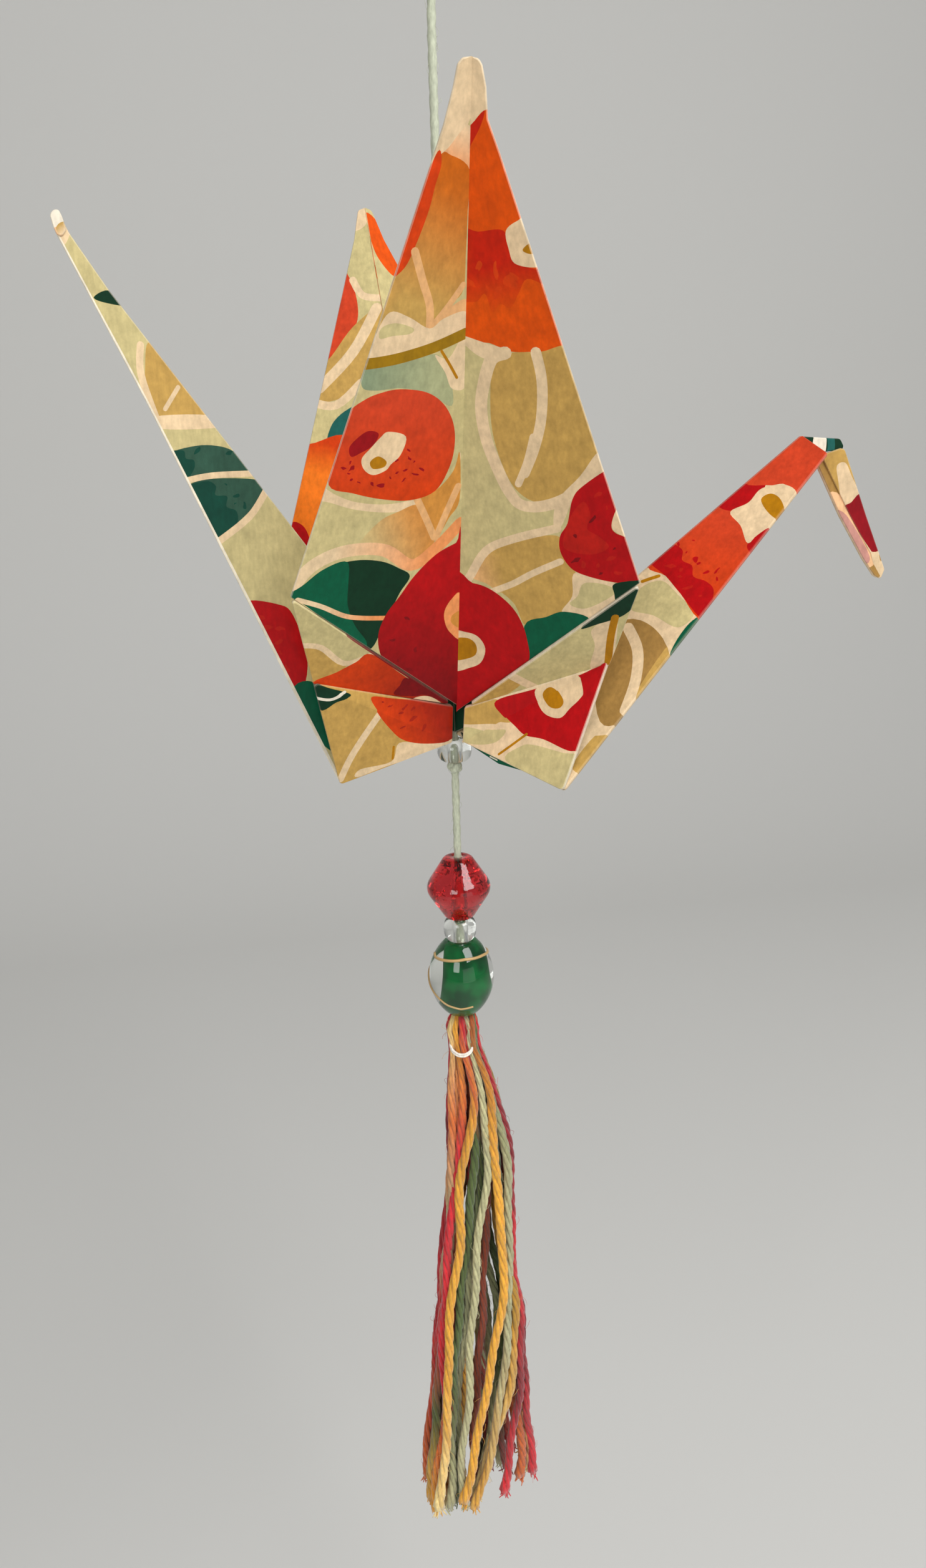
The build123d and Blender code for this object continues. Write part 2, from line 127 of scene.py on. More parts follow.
PRINT = {
    "wing_tail": [
        field("cream", [(2.2, -1.3), (-1.5, -1.1), (-0.7, 2), (0.3, 4.7), (1.7, 6.1), (2.9, 7),
            (4.2, 7.1)]),
        field("cream", [(3.1, 7.2), (2.1, 6.4), (0.3, 4.7), (-0.1, 6.2), (-0.1, 8.3), (1.5, 7.7),
            (2.6, 8.4), (3.4, 8.5)], ("peach", (0.4, 4.8), (2, 8.4))),
        field("umber", [(3.1, 7.3), (1.8, 7.1), (0, 8.4), (0.1, 11.6), (0.2, 15.6), (0.4, 19), (1.8, 20.3),
            (3.9, 22.3), (6, 21.1), (8, 20.5), (9.5, 22.1), (8, 17.5), (5.4, 13.2)],
            ("tan", (1.5, 9.6), (5.4, 19.8))),
        field("flame", [(3.2, 6.7), (2.8, 7.7), (3.4, 9.5), (4, 11.5), (5.2, 14.2), (6.4, 16.3),
            (7.9, 17.2), (7.9, 15.9), (5.3, 10.8)]),
        stroke("peachcream", 0.8, [(5.4, 15), (4.6, 17.8), (3.9, 20.1), (3.9, 22.3)]),
        stroke("peachcream", 0.6, [(0.4, 18.5), (1.8, 20.2), (3.8, 22.3)]),
        stroke("peachcream", 1.3, [(0.3, 20.5), (2.1, 21.4), (3.8, 22.5)]),
        field("cream", [(9.5, 22.3), (8, 20.3), (6, 21), (3.9, 22.3), (2.4, 21.5), (0, 21.1), (0, 23.4),
            (3.3, 24.4), (6.9, 25), (10.5, 25)]),
        field("sage", [(8.9, 21.7), (7.4, 21.4), (5.6, 22.1), (6, 22.6), (7.8, 22.6), (9.1, 22.7)]),
        field("greygreen", [(11.1, 27.2), (10.5, 25.3), (6.9, 25.4), (3.3, 24.9), (2.2, 26.3), (1.6, 27.5),
            (1.4, 30.5), (4.2, 28.8), (7, 27.9), (9.7, 27.8)], ("mint", (10.5, 26.1), (3, 26.5))),
        field("cream", [(3.3, 25), (1.8, 25.5), (0, 23.2), (-0.2, 28.4), (1.4, 28.7), (2.2, 26.9)]),
        stroke("branch", 1.1, [(11, 25), (9, 25), (6.6, 24.8), (3.3, 24.2), (0, 23.2)]),
        stroke("ochre", 0.3, [(2.6, 24.7), (1.8, 26), (0.9, 27.6)]),
        field("cream", [(16, 37.1), (14.3, 38.4), (12.1, 39.6), (8.8, 40.4), (5.5, 40.4), (3.1, 40),
            (1.3, 38.4), (0.4, 35.8), (0.4, 37.3), (1.6, 39.8), (4.3, 41.3), (8, 41.5), (12.1, 40.5),
            (14.9, 39.2), (16.3, 38.5)]),
        field("tanorange", [(5.5, 39.9), (3.1, 39.7), (1.1, 37.8), (0.4, 35.8), (0.3, 41.3), (1.5, 43.3),
            (3.1, 45.5), (4.3, 42.8)]),
        field("tanpeach", [(12.6, 45.4), (9.8, 42.4), (7.4, 41.5), (5.2, 41.1), (4.2, 43.2), (3.1, 45.5),
            (4.3, 47), (6, 48), (9, 46.1)], ("sage", (5.5, 43.2), (12.3, 45.2))),
        stroke("peachcream", 0.8, [(5.5, 39.9), (4.3, 42.8), (3.3, 45.4)]),
        stroke("peachcream", 0.8, [(0.5, 39.7), (1.8, 42.5), (3.1, 45.5)]),
        stroke("cream", 1.5, [(20.3, 49.1), (18, 46.6), (15.3, 45.4), (12.3, 45.2), (9, 46), (6, 48.4),
            (3, 46.8), (0.1, 44.2)], ("peach", (15, 45.4), (4, 47.6))),
        field("coral", [(12.7, 29.8), (10.9, 28.6), (9.1, 28.1), (7, 28), (4.2, 28.7), (2.3, 30.2),
            (1.2, 32.4), (1, 34.9), (1.6, 37.4), (3.2, 39.8), (6.1, 40.4), (9.4, 39.7), (12.5, 38.5),
            (15.1, 37.1), (14.1, 32.9)], ("flame", (6.7, 29.5), (7.8, 39.7))),
        field("darkred", [(9.5, 32.3), (10.6, 31.9), (11.8, 32.5), (12.7, 33.4), (12.5, 34.4), (11.4, 34.1),
            (10.4, 33.7), (9.8, 33.2)]),
        *flecks("darkred", 0.42, [(12.9, 34.9), (12.3, 35.6), (13.2, 36.2), (12.4, 36.9), (11.5, 37.4),
            (10.6, 37.6), (9.6, 37.9), (8.6, 37.6), (7.7, 37.2), (6.9, 36.4), (6.2, 35.4), (5.6, 36.2),
            (6.4, 37.5), (5.2, 37.6), (7.2, 35.3), (6.6, 34.5), (4.7, 36.9), (13.6, 35.3)]),
        field("cream", [(9.3, 32.8), (8.4, 32.3), (6.5, 33.1), (7.1, 35), (8.2, 35.9), (8.8, 36.5),
            (10.2, 36.8), (11.2, 36), (11.4, 34.8), (10.4, 33.8)]),
        field("ochre", [(10.5, 35.3), (9.6, 34.8), (8.7, 35.5), (9, 36.1), (10.2, 36.1)]),
        field("bottle", [(20.3, 49.2), (18.7, 48.4), (16, 46.8), (12.6, 46.5), (9.6, 47.2), (7.5, 48.5),
            (6.2, 49.8), (7.5, 51.8), (8.8, 54.4), (9.8, 56.3), (10.8, 58.2), (11.8, 58.4), (14, 56),
            (16.9, 52.9), (18.9, 50.7), (20.3, 50.2)]),
        field("viridian", [(20.3, 49.2), (18.7, 48.4), (16, 46.8), (13.5, 46.5), (13.5, 49.2), (13.7, 51.9),
            (13, 54.8), (11.7, 57.3), (11.9, 58.5), (14, 56), (16.9, 52.9), (18.9, 50.7), (20.3, 50.2)]),
        stroke("cream", 0.6, [(19.4, 50.1), (16.8, 51.5), (14.2, 53.3), (12, 54.1), (9.3, 54.7)],
            ("peach", (16.8, 51.5), (10.8, 54.5))),
        # Towards the bottom the crimson darkens to claret, into the crease with the lapel: painted shade.
        field("crimson", [(0, 46.3), (0.6, 46.6), (3, 47.6), (5.6, 49.8), (7.5, 52.2), (9.2, 54.3),
            (10.2, 56.9), (9.9, 59.9), (8.3, 62.6), (5.7, 65.2), (2.9, 67.3), (-0.5, 70.5)],
            ("claret", (1.7, 51.7), (5.7, 65.6))),
        *flecks("claret", 0.5, [(7.6, 60.8), (6.2, 62.8), (8.6, 57.6), (4.6, 64.2), (7, 55.4),
            (5.4, 60.2)]),
        field("peach", [(-0.1, 53.6), (1, 53.9), (1.9, 55.4), (1.8, 57.1), (1.1, 58.6), (-0.3, 59.6)]),
        field("tanorange", [(-0.2, 55.9), (0.8, 56.1), (1.1, 56.8), (0.7, 57.6), (-0.2, 58.1)]),
    ],
    "wing_neck": [
        field("cream", [(-0.7, -1.2), (1.3, -1.3), (2, 3.2), (1.3, 3.5), (-0.2, 5.2), (-0.6, 5.3)]),
        field("orange", [(-0.6, 5.6), (-0.2, 5.2), (1.3, 3.5), (2.3, 4.5), (5.2, 11.2), (7.8, 16.7),
            (10.8, 23.6), (7.4, 24.2), (4.6, 24.5), (2.5, 23.9), (-1.3, 23.4), (-1.2, 15.2)]),
        field("vermilion", [(-0.6, 5.6), (0.4, 4.4), (1.3, 3.5), (1, 4.7), (0.2, 6.2), (-0.1, 6.6)]),
        field("vermilion", [(-1.2, 13.7), (1, 13.6), (3.5, 13.3), (4.2, 15.3), (5.5, 16.2), (7.2, 16.6),
            (8, 17.8), (6, 17.4), (5.2, 18.9), (4.5, 20.3), (3.5, 20), (2.7, 20.9), (1.9, 19.2),
            (0.9, 20.1), (-1.1, 19.4)], ("orange", (1, 17), (2, 21.8))),
        *flecks("flame", 0.8, [(0.6, 17.9), (2.2, 18.4), (3.9, 17.8), (1.4, 16.9), (3.2, 19.2), (5, 17.6),
            (0, 18.8), (2.9, 17.2)]),
        field("cream", [(3.7, 13.3), (4.8, 12.3), (5.7, 12.1), (7.1, 15.7), (6.5, 16.3), (4.7, 16.1),
            (4.1, 15)]),
        field("ochre", [(5.4, 14.8), (6.1, 14.2), (6.7, 15), (5.9, 15.1)]),
        field("cream", [(-1.3, 23.3), (1.9, 23.9), (4.6, 24.5), (2.8, 25.5), (1.4, 25.3), (-0.1, 24.3)]),
        field("tan", [(3.1, 25.3), (4.8, 24.6), (7.7, 24.2), (11.1, 23.6), (14, 30.1), (15.2, 33),
            (13.7, 36.4), (11.2, 39.2), (8.5, 40.4), (6.2, 39.4), (4.6, 37), (3.2, 33.1), (2.8, 28.6)]),
        stroke("cream", 1.3, [(4.2, 24.7), (2.8, 25.5), (2.1, 28.1), (1.9, 30.8), (2.6, 34.1), (4, 37.3),
            (5.3, 39.6), (6.8, 41), (9.4, 40.7), (12.4, 38.8), (15.4, 34.9)]),
        stroke("cream", 1.1, [(7.3, 24.3), (8.1, 27.1), (8.3, 30.9), (7.8, 34.3), (6.9, 37.3)]),
        stroke("cream", 0.8, [(7.6, 33.1), (7.1, 36), (6.3, 38.6)]),
        field("cream", [(14.6, 33.8), (15.8, 35.4), (14.3, 37.1), (13.1, 38.6), (12.3, 39.7), (11.4, 42.8),
            (10.6, 43.5), (10.6, 40.1), (12.9, 36.7)]),
        field("tan", [(1.3, 50.7), (3, 47.9), (6, 45.6), (9.5, 44.3), (11.4, 44.3), (11.9, 46.6),
            (13.4, 48.3), (13.5, 51.4), (12.3, 53.8), (10.2, 55.2), (8.1, 56.3), (6.7, 53.7), (4.8, 52.2),
            (3.2, 51.5)]),
        field("peachcream", [(1.3, 50.7), (3, 47.9), (4.6, 46.5), (5, 49), (5.2, 52.3), (3.2, 51.5)],
            ("tan", (1.6, 50.4), (4.8, 49.2))),
        stroke("cream", 1, [(-0.9, 53.6), (1, 51.3), (3, 47.3), (6, 45.3), (10.9, 43.2)]),
        stroke("cream", 0.8, [(3.8, 52.5), (6.3, 51), (8.6, 49.2), (11.6, 47.2)]),
        field("cream", [(13.2, 48.5), (15.2, 48.5), (18, 48.9), (18.7, 50.5), (17.3, 52.3), (15, 54.3),
            (12.3, 53.8), (13.3, 51.4)]),
        field("sage", [(14.5, 49.5), (17, 49.3), (18.1, 50.2), (15.1, 52.7), (13.1, 52.5), (13.9, 51.3)]),
        field("crimson", [(16.1, 35.4), (13.3, 37.8), (12.3, 39.5), (12, 42.4), (11.3, 44.1), (11.5, 46),
            (12.8, 47.8), (14.6, 48.5), (17.9, 48.8), (21.6, 48.3), (20.3, 44.5), (19.2, 43.1),
            (17.5, 42.8), (16.8, 41.9), (17.3, 39.7), (16.9, 37)]),
        field("scarlet", [(12.2, 41.7), (13.5, 39.6), (14.4, 41), (14.2, 42.7), (15.5, 43.4), (16.8, 44.5),
            (15.2, 45.7), (12.8, 45.8), (11.7, 45)]),
        *flecks("scarlet", 0.6, [(15.6, 46.8), (17, 46), (18.3, 47.2), (16.2, 40.2), (15.4, 38.6),
            (14, 47.4)]),
        *flecks("claret", 0.5, [(13.2, 46.6), (16.4, 47.6), (15, 41), (17.6, 44.6), (12.6, 43.4)]),
        field("cream", [(17.3, 39.6), (18.5, 39.5), (19.8, 43), (19.3, 43.2), (17.7, 42.8), (16.8, 41.9)]),
        field("viridian", [(8, 56.4), (10.5, 54.7), (12.6, 53.6), (15.6, 54.2), (13.2, 58), (8.8, 62.4)]),
        field("bottle", [(18, 48.9), (21.6, 48.1), (18.8, 51.5), (18, 50.2)]),
        field("crimson", [(-0.9, 52.1), (1.6, 51.7), (3.8, 52.2), (6.1, 53.8), (7.5, 55.7), (8.4, 58.1),
            (8.8, 61.4), (6.6, 64.4), (4, 67.6), (1.4, 70.8), (-0.6, 73)]),
        field("cream", [(-0.8, 59.1), (1, 58.6), (2.5, 59), (3.4, 60.5), (3, 62.5), (1.7, 63.6),
            (-0.7, 64.3)]),
        field("ochre", [(-0.8, 60.1), (1.2, 59.4), (2.3, 60.3), (2, 61.9), (-0.7, 62.9)]),
    ],
    "shoulder_neck": [
        field("tan", [(-0.8, -0.7), (-0.9, 4.6), (-0.4, 8.5), (1.9, 7.9), (1.7, 3.3), (0.4, 0.9)]),
        stroke("cream", 1.2, [(-1.1, 8.2), (0.9, 8.3), (4.2, 8.6)]),
        field("cream", [(1.2, 20.2), (1.9, 23.4), (8.5, 16.5), (6.2, 15.5), (3.6, 18.5)]),
        field("bottle", [(-0.5, 29.6), (1.8, 26.2), (2.2, 24.7), (2, 23.3), (1.1, 21.3), (0.2, 19.4),
            (-0.2, 21.6), (-0.4, 25.4)]),
        stroke("ochre", 0.9, [(1.7, 23.3), (4, 20.6), (7.6, 17)]),
    ],
    "lapel_neck": [
        field("sage", [(2.4, -1), (4, 2), (4.7, 4.3), (5.8, 2.7), (5.5, 0.2), (4.4, -1.8)]),
        field("tan", [(-0.4, -0.5), (-0.1, 1.9), (0.2, 4.4), (2.2, 4.4), (3.9, 5.2), (3, 2.5),
            (1.7, -1.3)]),
        field("sage", [(8.3, 3.4), (7.2, 5.7), (7.4, 7.4), (9.3, 10.9), (10.4, 12.7), (14.3, 10.7),
            (12.2, 7.7)]),
        field("crimson", [(0.3, 4.2), (0.3, 9.1), (0.3, 14.9), (-0.3, 20.1), (3.2, 18.4), (6.8, 15.8),
            (9.5, 13.7), (9.5, 12.4), (9, 11.3), (7.1, 8.9), (6, 6.7), (4.5, 5.6), (2.2, 4.2)]),
        field("cream", [(0.4, 9.4), (0.2, 12.2), (0.2, 14.9), (2.7, 15.2), (3.5, 14.6), (4.3, 13.1),
            (5.1, 11.6), (4.2, 9.9), (2.5, 9.2)]),
        field("ochre", [(1.3, 10), (0.7, 11.4), (3, 12.5), (3.9, 11.8), (3.3, 10.5)]),
        stroke("ochre", 0.3, [(5.9, 6.9), (6.7, 4.7), (7.4, 2.7)]),
    ],
    "shoulder_tail": [
        field("tan", [(4.6, 22.3), (3.2, 20.7), (3, 17.1), (3.2, 16.3), (6.2, 16.1), (8.4, 17.7)]),
        stroke("cream", 0.8, [(4.2, 22.9), (3, 20.8), (3.1, 16.8), (0.3, 15.2)]),
        field("flame", [(7.8, 17.3), (4.6, 16.5), (2.1, 15.8), (0.1, 15.2), (0.1, 9.2), (0, -1.1),
            (2.5, 4.5), (5, 9.6)], ("brick", (2.7, 15.3), (0.5, 4.7))),
        field("claret", [(0.03, -2), (0.03, 6), (0.02, 14), (-0.2, 20), (-2, 14), (-2, 0)]),
        field("claret", [(1.5, 8.5), (0.1, 8.7), (-0.2, 4.5), (0, 0.1), (0.3, 2.9), (0.8, 4.8), (1.6, 5.5),
            (3, 7.9)]),
        field("cream", [(2.3, 5.2), (1.1, 4.8), (0.4, 3.3), (0.6, 0.6), (2.1, 2.3)]),
    ],
    "lapel_tail": [
        field("cream", [(9.1, 5.3), (6.1, 5.4), (5.5, 1.9), (4.1, -2), (5.4, -2.6), (9.4, 4.8), (12.4, 8.8),
            (11.1, 8.9)]),
        field("bottle", [(-0.1, 20.3), (0.2, 17.2), (0.6, 14.1), (1.8, 15.5), (3.3, 17.2)]),
        stroke("white", 0.4, [(1.7, 18.5), (1.6, 16.4), (0.4, 15)]),
        stroke("cream", 0.9, [(2.1, 9.5), (6.2, 10.3), (9.7, 10.8), (13.2, 10.9)]),
        field("flame", [(0.5, 11.4), (0.2, 8.4), (-0.1, 4), (0.1, -0.5), (3, -1.6), (4.6, -1), (5.6, 2.3),
            (5.5, 5.2), (4.1, 7.6), (2.4, 9.7)], ("brick", (4.7, 6.7), (0.8, 3))),
        *flecks("brick", 0.45, [(0.9, 9.6), (1.6, 8.4), (1, 7), (2.2, 7), (1.5, 5.6), (0.8, 4.4),
            (2.4, 4.8), (1.7, 3.2), (3, 3), (0.9, 2), (2.4, 1.4), (3.6, 5.6)]),
        stroke("ochre", 0.3, [(6.8, 5.9), (8.7, 5.3)]),
    ],
    "tail": [
        field("cream", [(0.5, -2.1), (-1.2, 0.9), (0, 2.5), (1.9, 3.2), (2.5, 1.3)]),
        field("bottle", [(2.4, 9), (0.6, 9.4), (0, 11.7), (1.9, 10)]),
        field("tan", [(0.7, 16), (0.3, 17.8), (0.1, 26), (4.9, 22.7), (4.4, 20.2), (2.6, 17.8)]),
        stroke("cream", 0.8, [(1.5, 15.7), (3.5, 18.2), (5.2, 22.9)]),
        stroke("cream", 0.5, [(1, 21.6), (3.7, 22.6)]),
        field("cream", [(5.3, 22.5), (0.1, 26), (-0.2, 27.8), (5.5, 24)]),
        field("spruce", [(6.6, 26.8), (3.4, 27.8), (1.2, 29.5), (0.2, 31.2), (-0.4, 33.8), (3.8, 31.3),
            (6.9, 29.7)]),
        field("spruce", [(7.5, 30.8), (4.2, 31.8), (-0.4, 35.6), (1.9, 36.9), (5.1, 37.4), (8.7, 37.3),
            (8.1, 34)]),
        field("pine", [(6.8, 26.6), (5, 27.3), (5.3, 28.2), (4.7, 28.9), (5.4, 29.7), (7.1, 29.9)]),
        field("pine", [(7.7, 30.8), (5.1, 31.5), (4.5, 32.6), (5.2, 33.4), (4.2, 34.3), (5, 35.2),
            (4.4, 36.3), (5.5, 37.5), (8.9, 37.4), (8.3, 34)]),
        *flecks("pine", 0.5, [(3.6, 33.4), (3.9, 35.6), (3.1, 36.4), (4, 28.3), (4.3, 30.6), (3.3, 34.6),
            (0.9, 30.6)]),
        stroke("cream", 0.7, [(7.2, 30), (4, 31.5), (-0.7, 34.6)]),
        stroke("cream", 0.8, [(0.1, 36.5), (3.6, 37.7), (8.5, 37.8)]),
        field("crimson", [(10.3, 45.3), (7.4, 47.8), (6.7, 50), (8.6, 55.3), (11.8, 58.1), (12.5, 55.1),
            (11.1, 49)]),
        *flecks("scarlet", 0.7, [(9.6, 47.8), (10, 49.4), (10.3, 51.2), (10.9, 53), (9.4, 50.4),
            (11.2, 55)]),
        field("viridian", [(12.5, 57.4), (10, 57.9), (10.5, 60.9), (12.8, 67.6), (14, 63.3)]),
        # Pale line along one edge of the tail only: painted highlight.
        stroke("edge", 0.4, [(1.45, 2), (2.75, 9.1), (4.85, 20.6), (9.9, 45.5), (15, 70.3)]),
    ],
    "neck": [
        field("cream", [(19.2, 50.3), (17.5, 52.5), (14.7, 51.3), (15.9, 49.5), (18, 49)]),
        field("tan", [(15.1, 49.8), (13.9, 45.4), (14.8, 43.5), (17.1, 47.4), (17.2, 49.2)]),
        field("cream", [(12.9, 45.9), (12.8, 43.2), (15.4, 41.4), (15.1, 43.7)]),
        field("umbertan", [(1.4, 35.3), (5.3, 31.2), (7.9, 30.5), (11.1, 31.3), (12.9, 31.6), (14.8, 37),
            (14.8, 42), (11.7, 43.2)]),
        field("tan", [(10.8, 30.7), (12.9, 31.1), (14.8, 37), (14.8, 40.5), (12.9, 37.7)]),
        stroke("cream", 1.4, [(5, 32.9), (8.5, 34.1), (11.6, 36.9), (13.9, 40.4)]),
        field("cream", [(2.5, 32.8), (0, 26.5), (0.4, 24.1), (5.7, 24.8), (10.7, 25), (12.6, 30.4),
            (12.6, 31.9), (10.3, 31), (7.5, 30.7), (5, 31.3)]),
        field("sage", [(1.7, 28.3), (2.9, 25.7), (6.2, 25.6), (9.7, 25.9), (9.8, 28.6), (6.1, 29.6),
            (3.1, 31)]),
        stroke("ochre", 0.5, [(1.1, 27.4), (1.6, 26.4), (2.1, 25.5)]),
        field("viridian", [(10.7, 25.2), (11.2, 26.7), (12.4, 32.1), (11.2, 30.2), (10.4, 27.3)]),
        field("coral", [(-0.6, 24.8), (-0.6, 13), (2.6, 13.1), (6.8, 14.5), (8.4, 15.5), (9.3, 19.1),
            (11.3, 25.7), (6.3, 25.3), (2.8, 24.9)], ("flame", (2.6, 13.4), (8.5, 25.4))),
        field("crimson", [(-0.6, 24.8), (-0.6, 21.6), (1.4, 21), (2.6, 22), (4.2, 21.7), (5.6, 22.6),
            (7.4, 22), (9.3, 22.4), (11.3, 25.7), (6.3, 25.3), (2.8, 24.9)]),
        *flecks("crimson", 0.5, [(0.6, 20.4), (2.2, 20.6), (3.4, 20.8), (4.8, 21.2), (6.4, 21.4),
            (8.4, 21.2), (1.2, 19.4), (7.2, 20.4)]),
        *flecks("scarlet", 0.6, [(2, 23.4), (4.4, 23.4), (6.6, 23.6), (8.6, 23.8), (3.2, 22.6)]),
        field("crimson", [(-0.6, 13.3), (-0.6, 7.9), (2.2, 7.9), (2.6, 11), (1.6, 13.3)]),
        field("coral", [(-0.6, 8.8), (-1.2, -2), (6, -2.2), (7.8, 7.6), (4.2, 6.3), (2.5, 7.7)]),
        field("crimson", [(7.1, 15), (7.5, 11.4), (9, 15.3), (8.5, 15.7)]),
        field("cream", [(1.8, 13.4), (2.5, 11), (2.2, 8.5), (4.2, 6.3), (6.5, 6.6), (7.7, 10.5),
            (6.8, 12.5), (7.1, 15), (4.4, 13.9)]),
        field("ochre", [(3.4, 9.7), (3.6, 8.4), (5, 8.1), (6.8, 8.9), (7.3, 10.3), (5.4, 10.4)]),
    ],
    "beak": [
        field("tan", [(0.1, 3.8), (2.8, 3.3), (3.9, 4.2), (3.5, 7.1), (3, 10.6), (1.3, 10.8), (0.5, 9.5),
            (0.2, 7.1)]),
        field("cream", [(1.9, 5.7), (3, 6), (2.9, 8), (2.8, 9.9), (2.7, 10.7), (1.2, 11.1), (0.4, 10.6),
            (0.5, 9.4), (1.1, 7.7)]),
        field("wine", [(0.4, 10.9), (1.3, 10.9), (2.8, 10.7), (2.5, 13.9), (1.9, 18.3), (0.5, 18.1),
            (0.4, 15.6), (0.3, 12.3)]),
        stroke("cream", 0.4, [(0.3, 9.7), (0.1, 13.8), (0.4, 18.4)]),
        field("umbertan", [(1.3, 19.1), (1.6, 19.5), (1.4, 20.1), (1, 20)]),
    ],
    "rear_tail": [
        field("cream", [(1.6, -0.5), (-0.4, -0.1), (0.2, 2.3), (2.1, 2.8)]),
        field("coral", [(5.1, 8.9), (3.6, 9.9), (3.2, 13.6), (3.8, 16.4), (5.9, 19.3), (9.4, 21.1)]),
        field("tan", [(7.9, 20.3), (4.3, 16.7), (0, 14.4), (-0.4, 16.8), (1.9, 21.3), (5.8, 25.7),
            (8.9, 26.7), (11.7, 26), (9.9, 21.8)]),
        stroke("cream", 1.5, [(0.7, 14.7), (4.9, 20.3), (10.3, 24.6)]),
        stroke("cream", 1.2, [(11.8, 26.2), (8.4, 27.4), (4.5, 24.9)]),
        stroke("cream", 1, [(3.3, 10), (2.3, 12.5), (-0.2, 13.4)]),
        field("teal", [(1.5, 23.5), (4.5, 24.9), (5.1, 27.3), (8, 28.8), (9.6, 30.3), (10.2, 32.5),
            (7, 33.5), (1.5, 28.4)]),
        field("flame", [(15.5, 33.1), (12, 32.1), (7.7, 32.2), (8.8, 39.3), (13.1, 43.3), (15.6, 45.4),
            (18.5, 41.2)], ("marigold", (11.6, 32.6), (12.6, 36))),
        field("crimson", [(16.9, 42.6), (15.3, 43.6), (15, 46.3), (17.4, 45.8)]),
    ],
    "rear_neck": [
        field("orange", [(-0.5, 1), (1.3, 1.3), (4.9, 7.5), (2.9, 9.7), (0.8, 7.5), (0, 4.9)]),
    ],
    "beak_far": [
        field("creampeach", [(-1.6, 9), (0.6, 9.6), (0.6, 19), (-1.6, 18.6)]),
        field("rose", [(-1.6, 11), (-0.1, 12), (0, 18.6), (-1.6, 18.2)]),
    ],
    "tail_end": [
        field("white", [(-0.6, -0.6), (1.4, -0.6), (1.6, 1.1), (0.5, 1.4), (-0.6, 1.2)]),
        field("tan", [(-0.4, 1.7), (0.4, 1.3), (1.1, 1.5), (1.2, 2.2), (0.2, 2.4)],
            ("cream", (0.6, 1.5), (0.6, 2.1))),
    ],
    "brow": [
        field("white", [(-0.8, 1.6), (-0.8, 2.9), (1.2, 3.3), (3, 3), (3, 1.8), (1.2, 1.4)]),
        stroke("teal", 1, [(-0.6, 3.6), (1.2, 4), (3, 3.6)]),
    ],
    "slip": [
        stroke("white", 0.22, [(0.28, 3.6), (0.3, 4.6)]),
    ],
    "back": [
        field("tan", [(1.5, 5), (4.5, 3.8), (7.5, 6), (8.2, 10), (5, 11), (2.2, 8.6)]),
        stroke("cream", 0.7, [(2, 5.4), (4.6, 7.2), (7.8, 10.2)]),
        field("viridian", [(0.5, 20), (4, 21.5), (7, 25), (3.4, 26.4), (0.6, 24)]),
        field("crimson", [(5, 14), (9, 12.6), (12.4, 15), (12.6, 19.4), (9, 22), (5.4, 20), (3.8, 17)]),
        field("cream", [(7.4, 16.6), (9.2, 15.6), (10.6, 17), (9.8, 19), (7.8, 18.8)]),
        field("ochre", [(8.4, 17), (9.4, 16.6), (9.6, 17.8), (8.6, 18.2)]),
        stroke("branch", 0.6, [(0, 13), (2.6, 14.2), (4.6, 15.6)]),
    ],
    # Dark green near the foot, behind the slit between the lapels: painted shade.
    "foot": [
        field("bottle", [(-1, 18), (2.5, 19), (4.5, 23), (3.5, 28), (-1, 28)]),
    ],
    # The lapel's inside by the slit: a dark green patch, painted shade.
    "lining": [
        field("bottle", [(-2, -2), (3, -3), (7.5, -2), (7, 4), (3, 5), (-2, 4)]),
    ],
    "plain": [],
}
PRINT["foot"] = PRINT["back"] + PRINT["foot"]
# Below its orange tip the rear wing repeats the front wing's pattern.
ORANGE_END = 22
PRINT["rear_neck"] += [shape for shape in PRINT["wing_neck"] if shape[1][:, 1].min() > ORANGE_END]


# Folded paper

HALF_SIDE = 75.0
PLY = 0.16
EDGE_ROUND = 0.1
# Share of a rim's ink turned pale at a raw edge, at a fold that keeps its ink, and at the neck and beak:
# partly ink worn off, partly a painted highlight along the edge.
EDGE_WEAR_AND_SHINE, FOLD_WEAR_AND_SHINE, NECK_WEAR_AND_SHINE, BEAK_WEAR_AND_SHINE = 0.25, 0.07, 0.05, 0.08
# Spacing of the points that carry faded inks.
TONE_STEP = 2.4
# Radii of a leaf's corners: at a wing or beak tip, at a fold, at a hip and at a seam.
TIP_R, FOLD_R, HIP_R, SEAM_R = 0.6, 0.25, 0.5, 0.02
# How far the wing halves stand apart at their seam and it rises past their tips, and how far leaves run
# on under their neighbours.
SEAM_GAP, SEAM_RISE = 0.01, 0.05
WING_TUCK = 1.0
SHOULDER_TUCK = 0.35
GUSSET_DEPTH = 0.64
PEAK = np.array([0.0, 0.0, -82.1])


def rest(x, y, z):
    """Place of a crease point, in half sides of the sheet from the peak of the back."""
    return PEAK + np.array([x, y, z]) * HALF_SIDE


